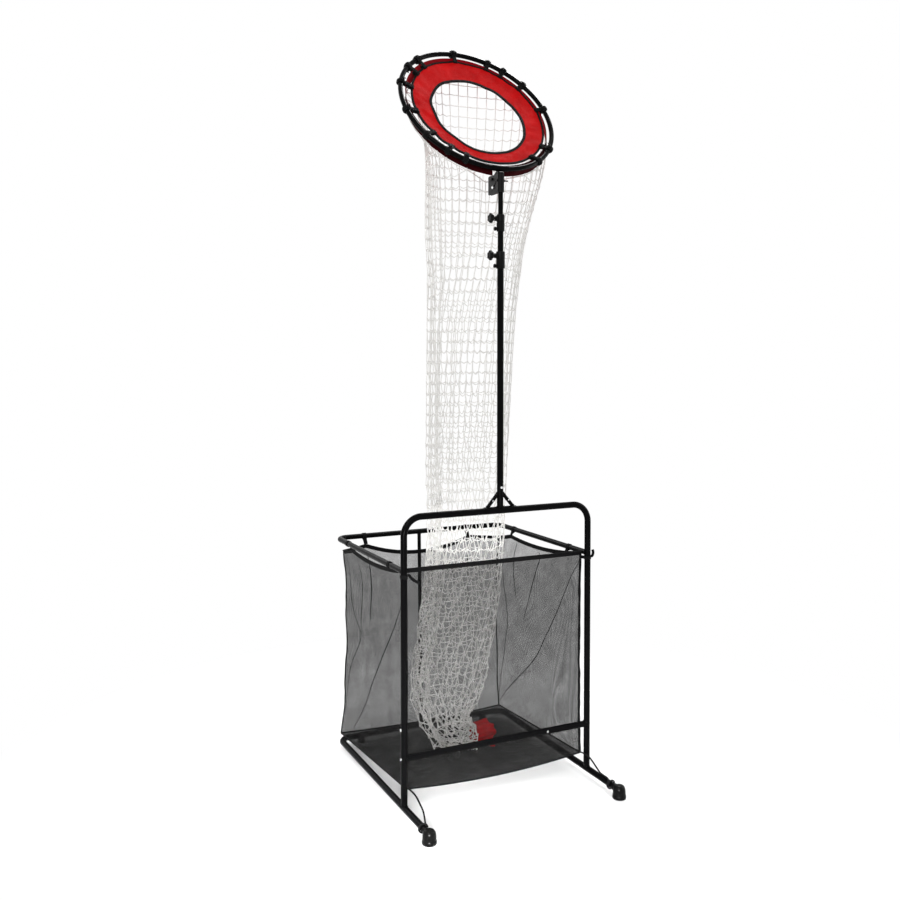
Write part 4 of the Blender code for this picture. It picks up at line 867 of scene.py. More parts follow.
def hull(discs, count=28):
    """The convex outline in y and z round some discs."""
    points = sorted((c.y + a, c.z + b) for c, r in discs for a, b in disc(r, count))

    def half(run):
        kept = []
        for p in run:
            while len(kept) > 1:
                a, b = kept[-2], kept[-1]
                if (b[0] - a[0]) * (p[1] - a[1]) - (b[1] - a[1]) * (p[0] - a[0]) > 1e-10:
                    break
                kept.pop()
            kept.append(p)
        return kept[:-1]

    return half(points) + half(points[::-1])


def feet():
    r, h = 0.0265, 0.052
    dome = [
        (0.0, h), (r * 0.25, h * 0.995), (r * 0.48, h * 0.970), (r * 0.66, h * 0.915),
        (r * 0.80, h * 0.82), (r * 0.885, h * 0.70), (r * 0.915, h * 0.58), (r * 0.93, h * 0.30),
        (r * 0.955, h * 0.245), (r * 0.99, h * 0.225), (r, h * 0.20), (r, h * 0.05),
        (r - h * 0.02, h * 0.015), (r - h * 0.04, 0.0), (r * 0.6, 0.0), (r * 0.55, 0.0015),
        (0.0, 0.0015),
    ]
    lip = [(TUBE + 0.0004, 0.0), (TUBE + 0.0022, 0.0), (TUBE + 0.0026, 0.0012),
           (TUBE + 0.0022, 0.0070), (TUBE + 0.0004, 0.0075)]
    pad = [(0.0, 0.024), (0.0150, 0.024), (0.016, 0.0235), (0.016, 0.002), (0.0155, 0.0006),
           (0.014, 0.0), (0.0, 0.0)]
    for side, word in SIDES:
        shape = Shape()
        turned(shape, dome, UP, beside(side, -FOOT_REACH, 0), 64)
        turned(shape, lip, BACK, beside(side, -FOOT_REACH + r * 0.80, RAIL_HEIGHT), 40, True)
        shape.make(word + "_foot", [RUBBER], [word + "_front_foot"])
        shape = Shape()
        turned(shape, pad, UP, at(side * 0.300, BASE_DEPTH, 0), 40)
        shape.make(word + "_pad", [RUBBER], [word + "_rear_foot"])


# Target, lacing and band

def round_noise(turn, size, height=0.0):
    """Noise that closes on itself after a whole turn."""
    return noise_at(cos(turn) * size, sin(turn) * size, height)


def hole_edge(angle, radius):
    """A point near the round hole, which is a little uneven."""
    turn = radians(angle)
    size = radius + 0.0055 * round_noise(turn, 2.4) + 0.0016 * sin(9 * turn + 1.0)
    size -= 0.0100 * max(0.0, -cos(turn)) ** 2
    centre = RING_CENTRE + (HOLE_OFFSET[0] + 0.004) * ACROSS + (HOLE_OFFSET[1] - 0.006) * UP_RING
    return centre + size * ring_out(angle)


def panel_edge(angle):
    """The radius of the panel's piping, drawn in a little on the left."""
    turn = radians(angle)
    return TARGET_OUTER - 0.003 + 0.0045 * cos(turn) - 0.0070 * max(0.0, -cos(turn)) ** 2


def panel_lift(angle, share):
    """The panel's height before the ring's plane: pulled up at the straps, and a little wavy."""
    turn = radians(angle)
    pull = 0.0
    for strap in STRAP_ANGLES:
        off = (angle - strap + 180) % 360 - 180
        pull += 0.0035 * share * share * (1 + cos(min(abs(off) / 9.0, 1.0) * pi)) / 2
    wave = round_noise(turn, 3.1, share * 0.8)
    fine = round_noise(turn, 8.0, share * 1.7 + 4)
    body = sin(pi * (0.15 + 0.7 * share))
    return pull - 0.0125 + 0.0025 * share + (0.0050 * wave + 0.0022 * fine) * body


def target():
    """The red panel with its two pipings."""
    count, wide = 240, 0.0775
    angles = [360 * i / count for i in range(count)]
    faces = two_faces(12)
    rows = []
    for angle in angles:
        inner = hole_edge(angle, TARGET_INNER + 0.0062)
        outer = ring_point(angle, panel_edge(angle) - 0.0032)
        rows.append([inner.lerp(outer, share)
                     + OUT_OF_RING * (panel_lift(angle, share) + 0.0009 * face)
                     for share, face in faces])
    shape = Shape()
    shape.grid(rows, True, True, us=[wide * share for share, _ in faces] + [0.0],
               vs=[0.243 * 2 * pi * i / count for i in range(count + 1)])
    panel = shape.make("red_target", [RED], ["target_panel"], "ring_head")
    hole = [hole_edge(angle, TARGET_INNER + 0.003) for angle in angles]
    rim = [ring_point(angle, panel_edge(angle)) for angle in angles]
    for name, node, line, share, width, thickness in (
            ("hole_piping", "target_inner_piping", hole, 0, 0.0116, 0.0056),
            ("edge_piping", "target_straps", rim, 1, 0.0088, 0.0060)):
        loop = [p + OUT_OF_RING * panel_lift(angle, share) for p, angle in zip(line, angles)]
        shape = Shape()
        strip(shape, loop, width, thickness, [ring_out(angle) for angle in angles], True)
        shape.make(name, [WEBBING], [node], "ring_head")


def wound(centre, angle, radius, turns, width, first, lean):
    """A cord's line round the ring's tube."""
    out, along = ring_out(angle), ring_along(angle)
    steps = int(26 * turns)
    line = []
    for i in range(steps + 1):
        turn = first + 2 * pi * turns * i / steps
        run = -width / 2 + width * i / steps
        size = radius + 0.0006 * sin(3 * turn + angle)
        line.append(centre + along * (run + lean * size * cos(turn))
                    - out * size * cos(turn) + OUT_OF_RING * size * sin(turn))
    return line


def lacing():
    """Cord wound round the ring and round the panel's edge at each strap, with its knot."""
    thick = 0.0021
    first = RING_TUBE + thick
    for number, angle in enumerate(STRAP_ANGLES):
        shape = Shape()
        out, along = ring_out(angle), ring_along(angle)
        centre = ring_point(angle, RING_RADIUS)
        chance = [noise_at(angle, 3.1 + 7 * k, 0.7) for k in range(5)]
        lean = 0.35 * chance[0]
        rope(shape, wound(centre, angle, first, 5, 0.0230 + 0.006 * chance[1], 0.0, lean), thick, 7)
        shifted = centre + along * 0.004 * chance[2]
        rope(shape, wound(shifted, angle, first + 1.5 * thick, 2.8, 0.0115, 0.6, -lean), thick, 7)
        edge = centre - out * (RING_RADIUS - panel_edge(angle))
        edge += OUT_OF_RING * panel_lift(angle, 1)
        for shift in (-0.0072, -0.0024, 0.0026, 0.0074):
            loop = arc(edge + along * shift, -out * 0.0062, OUT_OF_RING * 0.0062, -100, 100, 12)
            ends = [centre + along * shift * 0.8 - out * (first * 0.86)
                    + OUT_OF_RING * s * first * 0.5 for s in (-1, 1)]
            rope(shape, curved([ends[0]] + loop + [ends[1]], 3), thick * 0.95, 7)
        side = OUT_OF_RING if number % 3 else -OUT_OF_RING
        tie = centre - out * (first * 0.4) + side * (first + 1.6 * thick) + along * 0.003 * chance[3]
        line = []
        for i in range(33):
            turn = 2 * pi * i / 16
            line.append(tie + along * (0.0052 * cos(turn)) + out * (0.0044 * sin(turn))
                        + side * (0.0020 * sin(1.5 * turn) + 0.0003 * i / 4))
        rope(shape, line, thick * 0.95, 7)
        for sign in (-1, 1):
            tail = [tie + side * 0.001, tie + along * sign * 0.007 + side * 0.0025,
                    tie + along * sign * (0.0120 + 0.004 * chance[4]) - out * 0.004,
                    tie + along * sign * (0.0135 + 0.006 * chance[4]) - out * 0.0105 - side * 0.002]
            rope(shape, curved(tail, 5), thick * 0.9, 7)
        shape.make(f"lacing_{number + 1:02d}", [LACE], ["target_straps"], "ring_head")


def band_top(angle):
    return ring_point(angle, BAND_RADIUS, BAND_LIFT)


def net_band():
    """The fabric band behind the ring, with soft folds; its outside is a darker copy of its fabric,
    as painted shade.
    """
    count, down, slit = 260, 7, 9.0
    rows = []
    for i in range(count + 1):
        angle = -90 + slit / 2 + (360 - slit) * i / count
        turn = radians(angle)
        flat_out = Vector((ring_out(angle).x, ring_out(angle).y, 0)).normalized()
        wave = sin(17 * turn) * 0.5 + round_noise(turn, 7)
        loose = min(1.0, min(i, count - i) / 8)
        deep = BAND_DROP * (1 + 0.02 * noise_at(turn * 4, 1.7, 0))
        rows.append([band_top(angle) - UP * deep * share
                     + flat_out * (0.0040 * share * wave * loose - 0.0006 * face)
                     for share, face in two_faces(down)])
    us = [BAND_DROP * k / down for k in range(down + 1)]
    shape = Shape()
    shape.grid([row[:down + 2] for row in rows], us=us + [BAND_DROP, BAND_DROP])
    # The outside face takes the copy with painted shade.
    shape.grid([row[down + 1:] + row[:1] for row in rows], us=us[::-1] + [0.0, 0.0], mark=1)
    shape.cap(rows[0][::-1])
    shape.cap(rows[-1])
    made = shape.make("net_band", [DARK_RED, BAND_SHADE_RED], ["net_collar"], "ring_head")


# Net

NET_COLUMNS = 44
CELL = 0.043
NET_CORD = 0.0018
# Rings down the net: x, y and z of the middle, half width, half depth and turn in degrees
COURSE = (
    (0.000, 0.200, 2.120, 0.205, 0.118, 0), (-0.005, 0.225, 1.800, 0.178, 0.125, 0),
    (-0.010, 0.245, 1.300, 0.160, 0.130, 0), (-0.010, 0.265, 0.930, 0.150, 0.125, 0),
    (-0.030, 0.295, 0.600, 0.150, 0.120, 0), (-0.070, 0.315, 0.300, 0.130, 0.110, 0),
    (-0.055, 0.308, 0.170, 0.085, 0.080, 45), (0.035, 0.300, 0.122, 0.046, 0.046, 90),
)
# For each ring: how far its columns crowd to the left, and how deep its folds are
CROWDING = (0.12, 0.30, 0.36, 0.36, 0.36, 0.36, 0.25, 0.0)
FOLDS = (0.006, 0.013, 0.017, 0.020, 0.022, 0.022, 0.016, 0.005)
# Rows of knots from each ring to the next, the band first
SPAN_ROWS = (0, 7, 12, 9, 8, 7, 4, 4)


def net_top(angle):
    """The net's upper edge under the band, led behind the bracket at the front."""
    drop = UP * -(BAND_DROP + 0.0055)
    half_slit = 22.5
    off = (angle + 90 + 180) % 360 - 180
    if abs(off) >= half_slit:
        return band_top(angle) + drop
    side = 1 if off > 0 else -1
    front = band_top(-90) + drop
    front.y = FRONT_Y + 0.122
    return front.lerp(band_top(-90 + half_slit * side) + drop, abs(off) / half_slit)


def net_station(number, place):
    """A column's point on one ring of the course, crowded to the left and folded."""
    x, y, z, wide, deep, turn = COURSE[number]
    turn = radians(turn)
    lean = radians(20)
    a = place + CROWDING[number] * sin(place + lean)
    slack = 1 - 0.45 * cos(place + lean)
    fold = FOLDS[number] * slack * (
        sin(7 * place + 1.3 + 0.6 * number) + 0.7 * sin(12 * place - 2.0 + 0.9 * number)) / 1.5
    across = (wide + fold) * cos(a)
    return at(x + across * cos(turn), y + (deep + fold) * sin(a), z + across * sin(turn))


def net_columns():
    columns = []
    for i in range(NET_COLUMNS):
        place = 2 * pi * i / NET_COLUMNS - pi / 2
        points = [net_top(place * 180 / pi)]
        points += [net_station(k, place) for k in range(len(COURSE))]
        columns.append(points)
    return columns


def span_lengths(columns):
    centres = [sum((c[k] for c in columns), Vector()) / len(columns) for k in range(len(columns[0]))]
    return [(b - a).length for a, b in zip(centres, centres[1:])]


def on_column(points, spans, k, t):
    """A point part of the way down one span of a column, on a smooth line."""
    def slope(j):
        if j == 0:
            return (points[1] - points[0]) / spans[0]
        if j == len(points) - 1:
            return (points[-1] - points[-2]) / spans[-1]
        return (points[j + 1] - points[j - 1]) / (spans[j - 1] + spans[j])

    a, b, run = points[k], points[k + 1], spans[k]
    m, n = slope(k) * run, slope(k + 1) * run
    if k == 0:
        run = (a - b).length
        inward = max(0.0, -a.x / BAND_RADIUS) ** 2
        m = (UP * -(0.7 - 0.35 * inward) + ACROSS * 0.75 * inward) * run
        n = n.normalized() * run
    t2, t3 = t * t, t * t * t
    return a * (2 * t3 - 3 * t2 + 1) + m * (t3 - 2 * t2 + t) + b * (3 * t2 - 2 * t3) + n * (t3 - t2)


def net_nodes():
    """Nodes of the net: top[i] and upper[i][j] above the first ring, rows of nodes below it."""
    columns = net_columns()
    spans = span_lengths(columns)
    upper = []
    for points in columns:
        line = [on_column(points, spans, 0, t / 60) for t in range(61)]
        nodes = []
        height = COURSE[0][2] + CELL
        while height < points[0].z - 0.45 * CELL:
            for a, b in zip(line, line[1:]):
                if b.z <= height <= a.z:
                    nodes.append(a.lerp(b, (a.z - height) / (a.z - b.z)))
                    break
            height += CELL
        upper.append(nodes)
    rows, parts = [], []
    for k in range(1, len(COURSE)):
        for r in range(SPAN_ROWS[k]):
            rows.append([on_column(points, spans, k, r / SPAN_ROWS[k]) for points in columns])
            parts.append(k)
    rows.append([points[-1] for points in columns])
    parts.append(len(COURSE))
    return [c[0] for c in columns], upper, loosened(rows, parts), parts


def loosened(rows, parts):
    """Rows with their knots drawn aside by turns, more so lower down."""
    moved = []
    for j, row in enumerate(rows):
        fresh = []
        seam = j == 0 or parts[j] != parts[j - 1] or j == len(rows) - 1
        z = sum(p.z for p in row) / len(row)
        pull = 0.0018 + 0.0038 * limited((1.7 - z) / 0.9)
        loose = 1.8 * (0.0018 + 0.0075 * limited((0.75 - z) / 0.5))
        for i, p in enumerate(row):
            along = (row[(i + 1) % len(row)] - row[i - 1]).normalized()
            where = Vector((i * 0.9, j * 0.8, 0.3))
            stray = loose * Vector([noise.noise(where + shift)
                                    for shift in (Vector(), ACROSS * 40, BACK * 40)])
            if seam:
                stray.z = 0.0
                stray *= 0.4
            fresh.append(p + along * pull * (1 if (i + j) % 2 else -1) + stray)
        moved.append(fresh)
    return moved


def slack_link(a, b, cell=0.040):
    """A cord between two knots of one row, hanging by its spare length."""
    sag = 0.31 * sqrt(max(cell * cell - (b - a).length_squared, 0.0)) + 0.0012
    middle = (a + b) / 2 - UP * sag
    left, right = [end.lerp(middle, 0.55) - UP * sag * 0.10 for end in (a, b)]
    return [a, left, middle, right, b]


def knot(shape, p):
    turned(shape, [(0.0, 0.0034), (0.0026, 0.0016), (0.0030, -0.0006), (0.0018, -0.0028),
                   (0.0, -0.0036)], UP + ACROSS * 0.4 * noise.noise(p * 90), p, 6)


def net_head(top, upper, below):
    """The net from the band down to its first row, with part rows where the band slants."""
    shape = Shape()
    for i, start in enumerate(top):
        j = (i + 1) % len(top)
        net_line(shape, [start + UP * 0.0075, start] + upper[i][::-1] + [below[i]])
        for p in [start] + upper[i]:
            knot(shape, p)
        for a, b in zip(upper[i], upper[j]):
            net_line(shape, slack_link(a, b))
        for a, b in ((i, j), (j, i)):
            rise = top[b].z - top[a].z
            if abs(rise) > 0.002:
                for p in upper[a][len(upper[b]):]:
                    share = limited((p.z - top[a].z) / rise)
                    net_line(shape, [p, top[a].lerp(top[b], share)])
    rope(shape, top, NET_CORD * 1.2, 6, True)
    return shape


def net_part(rows, last):
    """Whole rows of the net, with their knots; only the last part knots its last row."""
    shape = Shape()
    for i in range(NET_COLUMNS):
        net_line(shape, [row[i] for row in rows])
    for row in rows if last else rows[:-1]:
        for a, b in zip(row, row[1:] + row[:1]):
            knot(shape, a)
            net_line(shape, slack_link(a, b))
    return shape


def net_line(shape, points):
    rope(shape, points, NET_CORD, 5)


def net():
    top, upper, rows, parts = net_nodes()
    seams = [j for j in range(1, len(rows)) if parts[j] != parts[j - 1] and parts[j] in (3, 6)]
    pieces = [("net_head", net_head(top, upper, rows[0]))]
    for name, first, last in zip(("net_high", "net_middle", "net_low"), [0] + seams,
                                 seams + [len(rows) - 1]):
        pieces.append((name, net_part(rows[first:last + 1], name == "net_low")))
    for name, shape in pieces:
        body = "stand" if name == "net_low" else None
        made = shape.make(name, [NET_WHITE], ["net_sleeve"], body, angle=80, weld=0)
        if name == "net_head":
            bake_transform(made)
        if name == "net_high":
            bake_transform(made)
        if name == "net_middle":
            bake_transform(made)


def cuff():
    """The short cloth tube that ends the net, slumped and ruffled at its mouth."""
    count, long = 120, 0.078
    centre = at(*COURSE[-1][:3])
    faces = two_faces(18)
    rings = []
    for share, face in faces:
        ring = []
        for i in range(count):
            turn = 2 * pi * i / count
            gather = 0.0022 * sin(17 * turn) * (1 - share) ** 2
            mouth = 0.0065 * sin(5 * turn + 0.6) + 0.0035 * sin(9 * turn + 2)
            crumple = 0.0080 * round_noise(turn, 2, share * 2.2)
            size = 0.0475 + gather + share * (0.0035 + mouth + crumple) - (0.0008 if face < 0 else 0)
            reach = long * share + share ** 2 * (0.0060 * sin(3 * turn + 1) + 0.004 * sin(7 * turn))
            high = size * sin(turn)
            high -= 0.004 * share * max(0.0, sin(turn))
            ring.append(centre + Vector((0.0015 + reach, size * cos(turn), max(high, -0.0500))))
        rings.append(ring)
    shape = Shape()
    shape.grid(rings, True, True, us=[0.31 * i / count for i in range(count + 1)],
               vs=[long * share for share, _ in faces] + [0.0])
    made = shape.make("net_end", [CUFF_RED], ["net_cuff"])


# Basket

BASKET_WIDTH = 0.766
BASKET_FRONT = 0.022
BASKET_DEPTH = 0.690
HEM_RISE = 0.0041
REAR_STRAPS = (-0.277, 0.222)
SIDE_STRAPS = (0.135, 0.595)
# Along an edge: the place, the drop below the hoop, and the sag on to the next place
REAR_DROPS = ((-1, 0.055, 0.001), (-0.7232, 0.038, 0.047), (0.5796, 0.038, 0.001), (1, 0.055, 0))
SIDE_DROPS = ((0, 0.001, 0.001), (0.1638, 0.022, 0.014), (0.8304, 0.030, 0.001), (1, 0.055, 0))


def sagging(t, anchors):
    for (t0, z0, sag), (t1, z1, _) in zip(anchors, anchors[1:]):
        if t <= t1:
            s = (t - t0) / (t1 - t0)
            return z0 + (z1 - z0) * s + 4 * sag * s * (1 - s)
    return anchors[-1][1]


def ease(value, start, end):
    t = limited((value - start) / (end - start))
    return t * t * (3 - 2 * t)


def basket_point(u, v, w):
    """A point of the basket: u and v across and back from -1 to 1, w up from 0 to 1."""
    back = (v + 1) / 2
    if v <= -0.999:
        drop = 0.001
    elif v >= 0.999:
        drop = sagging(u, REAR_DROPS)
    else:
        drop = sagging(back, SIDE_DROPS)
    low = RAIL_HEIGHT + 0.055 - 0.036 * back - 0.020 * (1 - u * u) * (1 - back * back)
    waist = (0.056 * w * (1 - w) + 0.0045 * sin(3 * pi * w) ** 2) * (0.3 + 0.7 * back)
    flare = 0.010 * (1 - w) * back
    tuck = 0.018 * (1 - w) * (1 - u * u)
    fold = 0.005 * sin(pi * w)
    x = u * (BASKET_WIDTH / 2 - waist + flare)
    y = BASKET_FRONT + (BASKET_DEPTH - tuck - waist * 0.5 + flare * u * u) * back
    if abs(u) > 0.999:
        x -= u * fold * (1 - cos(4 * pi * back))
    if v > 0.999:
        y -= fold * (1 - cos(2 * pi * (u + 1)))
    return at(x, y, low + (HOOP_HEIGHT - drop - low) * w)


INWARD = (BACK, -ACROSS, -BACK, ACROSS)


def wall_place(wall, share):
    """u and v on a wall by the share of its length: front, right, rear or left."""
    run = 2 * share - 1
    return ((run, -1), (1, run), (-run, 1), (-1, -run))[wall]


def wall_point(wall, share, w, inward=0.0):
    """A wall's point with its soft creases, moved inward by a given distance."""
    edge = ease(share, 0, 0.08) * ease(1 - share, 0, 0.08) * ease(w, 0, 0.07) * ease(1 - w, 0, 0.12)
    where = Vector((share * 5.1 + wall * 7.3, w * 2.3, 0.4))
    soft = 0.5 + 0.5 * noise.noise(where)
    ridge = 0.0
    for line in CREASE_LINES[wall]:
        off = min((share - p.x) ** 2 + (w - p.y) ** 2 for p in line)
        ridge += 0.005 * exp(-off / 0.0011)
    pucker = 0.0018 * sin(share * 2 * pi * 15 + 3 * noise.noise(where)) * ease(w, 0.86, 1.0)
    push = inward + edge * (0.009 * soft + ridge) + pucker * min(edge * 9, 1)
    return basket_point(*wall_place(wall, share), w) + INWARD[wall] * push


# Creases of the front, right, rear and left wall, by shares of its length and its height
CREASES = (
    (),
    (((0.0, 0.98), (0.195, 0.70), (0.365, 0.50), (0.58, 0.315), (0.975, 0.035)),
     ((0.74, 0.985), (0.735, 0.85), (0.70, 0.68)),
     ((0.465, 0.98), (0.45, 0.915), (0.54, 0.735), (0.61, 0.58)),
     ((0.90, 0.98), (0.875, 0.745), (0.80, 0.545), (0.85, 0.385), (0.985, 0.04))),
    (((0.21, 0.97), (0.225, 0.80), (0.22, 0.55)), ((0.86, 0.97), (0.85, 0.75), (0.86, 0.60))),
    (((0.985, 0.96), (0.895, 0.85), (0.645, 0.605), (0.40, 0.335), (0.15, 0.07)),
     ((0.05, 0.98), (0.065, 0.74), (0.175, 0.55), (0.065, 0.395), (0.015, 0.125)),
     ((0.235, 0.98), (0.225, 0.755), (0.18, 0.56))),
)


CREASE_LINES = [[curved([Vector((share, w, 0)) for share, w in points], 10) for points in wall]
                for wall in CREASES]


def basket_cloth():
    """Walls in open mesh over a floor of denser mesh."""
    shape = Shape()
    across, high, count = 96, 72, 64
    for wall in range(4):
        wide = BASKET_DEPTH if wall % 2 else BASKET_WIDTH
        rows = [[wall_point(wall, c / across, r / high) for c in range(across + 1)]
                for r in range(high + 1)]
        shape.grid(rows, us=[wide * c / across for c in range(across + 2)],
                   vs=[0.80 * r / high for r in range(high + 2)])
    rows = []
    for r in range(count + 1):
        row = []
        for c in range(count + 1):
            u, v = 2 * c / count - 1, 2 * r / count - 1
            lift = 0.007 * (1 - u ** 6) * (1 - v ** 6)
            row.append(basket_point(u, v, 0)
                       + UP * lift * noise_at(u * 2.6, v * 2.6, 1.1))
        rows.append(row)
    shape.grid(rows, us=[BASKET_WIDTH * c / count for c in range(count + 2)],
               vs=[BASKET_DEPTH * r / count for r in range(count + 2)], mark=1)
    return shape.make("basket_cloth", [MESH, DENSE_MESH], ["mesh_basket"], angle=70)


def basket_creases():
    """Narrow folds where the cloth lies double."""
    shape = Shape()
    for wall in range(4):
        for number, run in enumerate(CREASE_LINES[wall]):
            line, sizes = [], []
            for i, p in enumerate(run):
                drift = 0.0025 * noise_at(i * 0.25, wall * 5 + number, 0.2)
                line.append(wall_point(wall, limited(p.x + drift), p.y, 0.0016))
                sizes.append(0.35 + 0.65 * sin(pi * i / (len(run) - 1)) ** 0.6)
            way = (line[-1] - line[0]).normalized()
            strip(shape, line, 0.0046, 0.0010, INWARD[wall].cross(way), sizes=sizes)
    return shape.make("basket_creases", [DENSE_MESH], ["mesh_basket"])


def basket_edging():
    """The roped hem, the bindings along top and bottom, and those of the four corners."""
    steps = 90
    shares = [i / steps for i in range(steps + 1)]
    hem = [basket_point(*wall_place(wall, share), 1) + UP * HEM_RISE
           for wall in range(4) for share in shares[:-1]]
    sizes = [1 + 0.10 * noise.noise(p * 55) + 0.04 * sin(i * 1.9) for i, p in enumerate(hem)]
    shape = Shape()
    rope(shape, hem, 0.0035, 10, True, side=UP, sizes=sizes)
    for wall in range(4):
        inside = INWARD[wall]
        line = [wall_point(wall, share, 0.9955) - inside * 0.0002 for share in shares]
        strip(shape, line, 0.0130, 0.0016, UP)
        strip(shape, [wall_point(wall, share, 0.0045) for share in shares], 0.0070, 0.0014, UP)
        line = [wall_point(wall, 0.0, 0.003 + 0.990 * i / 70)
                + (inside + INWARD[wall - 1]) * 0.0012
                * (1 + noise_at(wall, i * 0.23, 0)) for i in range(71)]
        sizes = [1 + 0.30 * noise_at(wall * 3, i * 0.31, 2.2) for i in range(71)]
        rope(shape, line, 0.0052 if wall == 1 else 0.0030, 8, side=inside, sizes=sizes)
    return shape.make("basket_edging", [WEBBING], ["basket_hem", "mesh_basket"])


def basket():
    cloth_piece, folds, edging = basket_cloth(), basket_creases(), basket_edging()


def stitching(shape, place, along, across, out, width, length):
    """A small box of stitches with its cross, raised on a strap."""
    corners = [place + along * a * length / 2 + across * b * width / 2 + out * 0.0003
               for a, b in SQUARE]
    runs = [corners + corners[:1], [corners[0], corners[2]], [corners[1], corners[3]]]
    for run in runs:
        for a, b in zip(run, run[1:]):
            pieces = max(2, round((b - a).length / 0.0024))
            for i in range(pieces):
                rope(shape, [a.lerp(b, (i + 0.15) / pieces), a.lerp(b, (i + 0.85) / pieces)],
                     0.0003, 5)


def hanger(name, node, centre, axis, hem):
    """Webbing round the hoop, stitched under it, with its tail down to the hem."""
    down = hem - centre
    down -= down.dot(axis) * axis
    reach = down.length
    way = down.normalized()
    side = axis.cross(way)
    radius = HOOP + STRAP_PLAY + STRAP / 2
    low = centre + way * (reach - 0.0030)
    meet = centre + way * min(radius + 0.010, reach * 0.75)
    half = side * STRAP * 0.52
    loop = arc(centre, way * radius, side * radius, 26, 334, 28)
    line = curved([low + half, meet + half] + loop + [meet - half, low - half], 5)
    shape = Shape()
    strip(shape, line, 0.0180, STRAP, axis)
    middle = meet.lerp(low, 0.45)
    for sign in (-1, 1):
        stitching(shape, middle + sign * side * STRAP * 1.02, way, axis, sign * side, 0.0135,
                  limited((low - meet).length * 0.7, 0.006, 0.012))
    shape.make(name, [WEBBING], [node])


def hangers():
    for side, word in SIDES:
        for place, end in zip(SIDE_STRAPS, ("front", "rear")):
            share = (place - BASKET_FRONT) / BASKET_DEPTH
            hem = basket_point(side, 2 * share - 1, 1) + UP * HEM_RISE
            hanger(f"{word}_{end}_strap", f"{word}_side_hanger_{end}",
                   beside(side, place, HOOP_HEIGHT), BACK, hem)
    for place, word in zip(REAR_STRAPS, ("left", "right")):
        hem = basket_point(place / (BASKET_WIDTH / 2), 1, 1) + UP * HEM_RISE
        hanger(word + "_back_strap", "rear_hanger_" + word, at(place, HOOP_DEPTH, HOOP_HEIGHT),
               ACROSS, hem)


def corner_ties():
    """Straps round the uprights that hold the basket's front corners, with curling tails."""
    wide, height = 0.0140, 0.887
    radius = TUBE + STRAP_PLAY + STRAP / 2
    tails = (
        ((0.0150, -0.0030, 0.0040), (0.0190, -0.0060, 0.0040), (0.0260, -0.0085, -0.0060),
         (0.0380, -0.0105, -0.0160), (0.0510, -0.0100, -0.0230), (0.0600, -0.0090, -0.0280)),
        ((0.0150, -0.0020, 0.0030), (0.0180, -0.0060, 0.0060), (0.0200, -0.0090, 0.0140),
         (0.0215, -0.0080, 0.0230), (0.0200, -0.0060, 0.0310)),
    )
    for (side, word), tail in zip(SIDES, tails):
        post = beside(side, 0, height)
        loop = arc(post, -side * radius * ACROSS, radius * BACK, 40, 400, 36)[:-1]
        start = loop[0]
        loop = [p + UP * 0.0008 * sin(radians(2 * (40 + 10 * i))) for i, p in enumerate(loop)]
        shape = Shape()
        strip(shape, loop, wide, STRAP, UP, closed=True)
        end = at(side * 0.3842, 0.034, height)
        strip(shape, curved([start, start.lerp(end, 0.5) - UP * 0.0006, end], 6), wide * 0.94,
              STRAP, UP)
        stitching(shape, start.lerp(end, 0.55) - BACK * STRAP * 0.55, (end - start).normalized(),
                  UP, -BACK, wide * 0.6, 0.010)
        line = curved([post + Vector(place) for place in tail], 7)
        strip(shape, line, wide * 0.80, STRAP, UP if side < 0 else Vector((0.7, -0.7, 0)))
        shape.make(word + "_tie_strap", [WEBBING], [word + "_corner_tie"])


# Light and ground

def lamp(name, place, aim, wide, high, power, spread=180):
    data = bpy.data.lights.new(name, "AREA")
    data.spread = radians(spread)
    data.shape = "RECTANGLE"
    data.size, data.size_y = wide, high
    data.energy = power
    made = placed(name, data)
    made.location = place
    made.rotation_euler = (Vector(aim) - Vector(place)).to_track_quat("-Z", "Y").to_euler()


def lights():
    lamp("key", (-3.2, -3.4, 4.6), (0, 0, 1.3), 1.2, 2.4, 110)
    lamp("right", (4.2, -1.4, 2.6), (0, 0, 1.2), 0.5, 3.0, 60)
    lamp("back", (-1.6, 4.4, 3.6), (0, 0, 1.4), 1.2, 1.8, 40)
    lamp("top", (1.1, 0.9, 3.9), (-0.05, 0.05, 0.5), 1.2, 1.2, 80)
    lamp("low", (-1.3, -2.3, 0.75), (0.0, 0.1, 0.20), 0.7, 0.7, 12.5, 38)


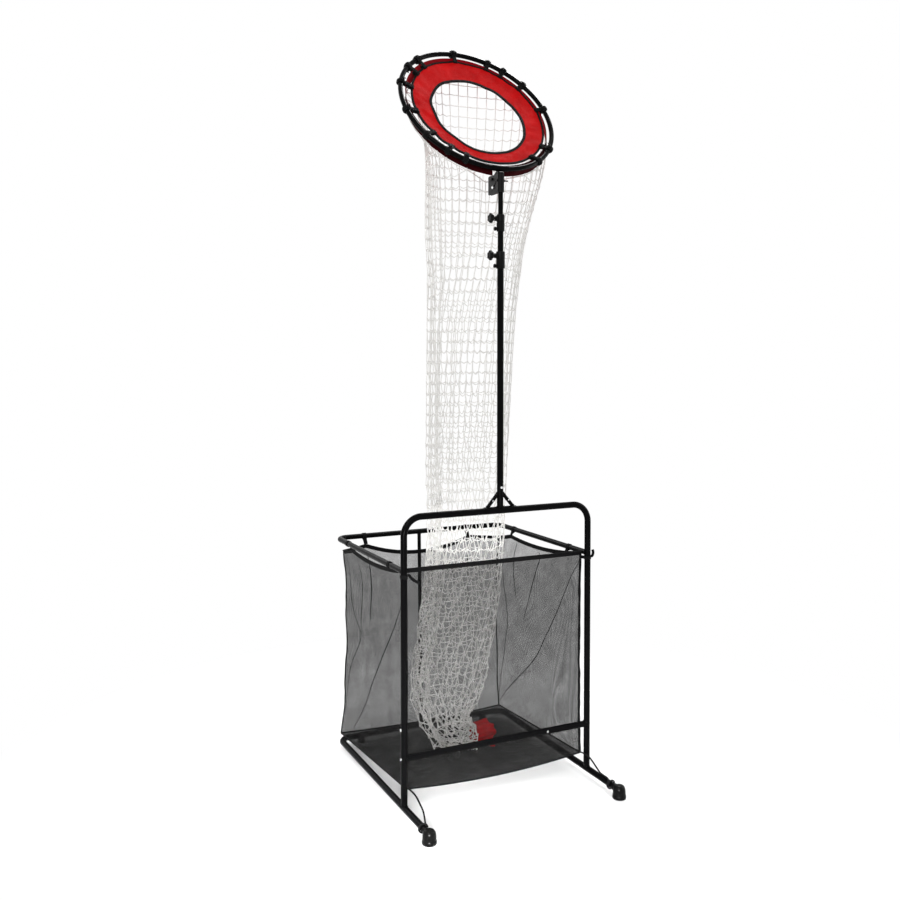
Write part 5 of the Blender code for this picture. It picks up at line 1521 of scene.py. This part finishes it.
def surroundings():
    """A light room that looks white to the camera, behind and through the piece."""
    world = bpy.data.worlds.new("room")
    world.use_nodes = True
    bpy.context.scene.world = world
    made = Nodes(world.node_tree)
    made.tree.nodes.clear()
    seen = made.node("LightPath", out="Is Camera Ray")
    for ray in ("Is Glossy Ray", "Is Transmission Ray"):
        other = made.node("LightPath", out=ray)
        seen = made.node("Math", {0: seen, 1: other}, operation="ADD", use_clamp=True)
    room, white = [made.node("Background", {"Color": (1, 1, 1, 1), "Strength": strength})
                   for strength in (0.64, 1.0)]
    out = made.tree.nodes.new("ShaderNodeOutputWorld")
    made.tree.links.new(made.mix_shaders(seen, room, white), out.inputs["Surface"])


def floor():
    """A matt ground that takes the shadow near the feet and fades into the white room."""
    made = Finish("studio floor", Roughness=0.9, Specular_IOR_Level=0.0,
                  Base_Color=(0.80, 0.80, 0.80, 1))
    seen = made.node("LightPath", out="Is Camera Ray")
    dark, glow, white = [made.node("Emission", {"Color": (1, 1, 1, 1), "Strength": strength})
                         for strength in (0.0, 0.14, 1.0)]
    near = made.node("AddShader", {0: made.shader.outputs[0], 1: made.mix_shaders(seen, dark, glow)})
    far = made.mix_shaders(seen, made.node("BsdfTransparent"), white)
    away = made.node("VectorMath", {0: made.place()}, "Value", operation="LENGTH")
    edge = made.ranged(away, 0.0, 1.0, 1.1, 2.0)
    out = made.tree.nodes["Material Output"]
    made.tree.links.new(made.mix_shaders(edge, near, far), out.inputs["Surface"])
    mesh = bpy.data.meshes.new("studio_floor")
    mesh.from_pydata([(x, y, -0.0005) for x, y in disc(7, 96)], [], [list(range(96))])
    mesh.materials.append(made.material)
    placed("studio_floor", mesh)


def tilt_sleeve():
    """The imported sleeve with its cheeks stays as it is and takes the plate's finish."""
    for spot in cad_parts["tilt_sleeve"].material_slots:
        spot.material = PLATE


camera()
tie_cords()
front_frame()
lower_frame()
hoop_and_post()
mast_socket()
mast_tubes()
collars()
screws()
bracket_bolts()
ring_metal()
feet()
tilt_sleeve()
target()
lacing()
net_band()
net()
cuff()
basket()
hangers()
corner_ties()
lights()
surroundings()
floor()
bpy.context.scene.view_settings.view_transform = "Standard"
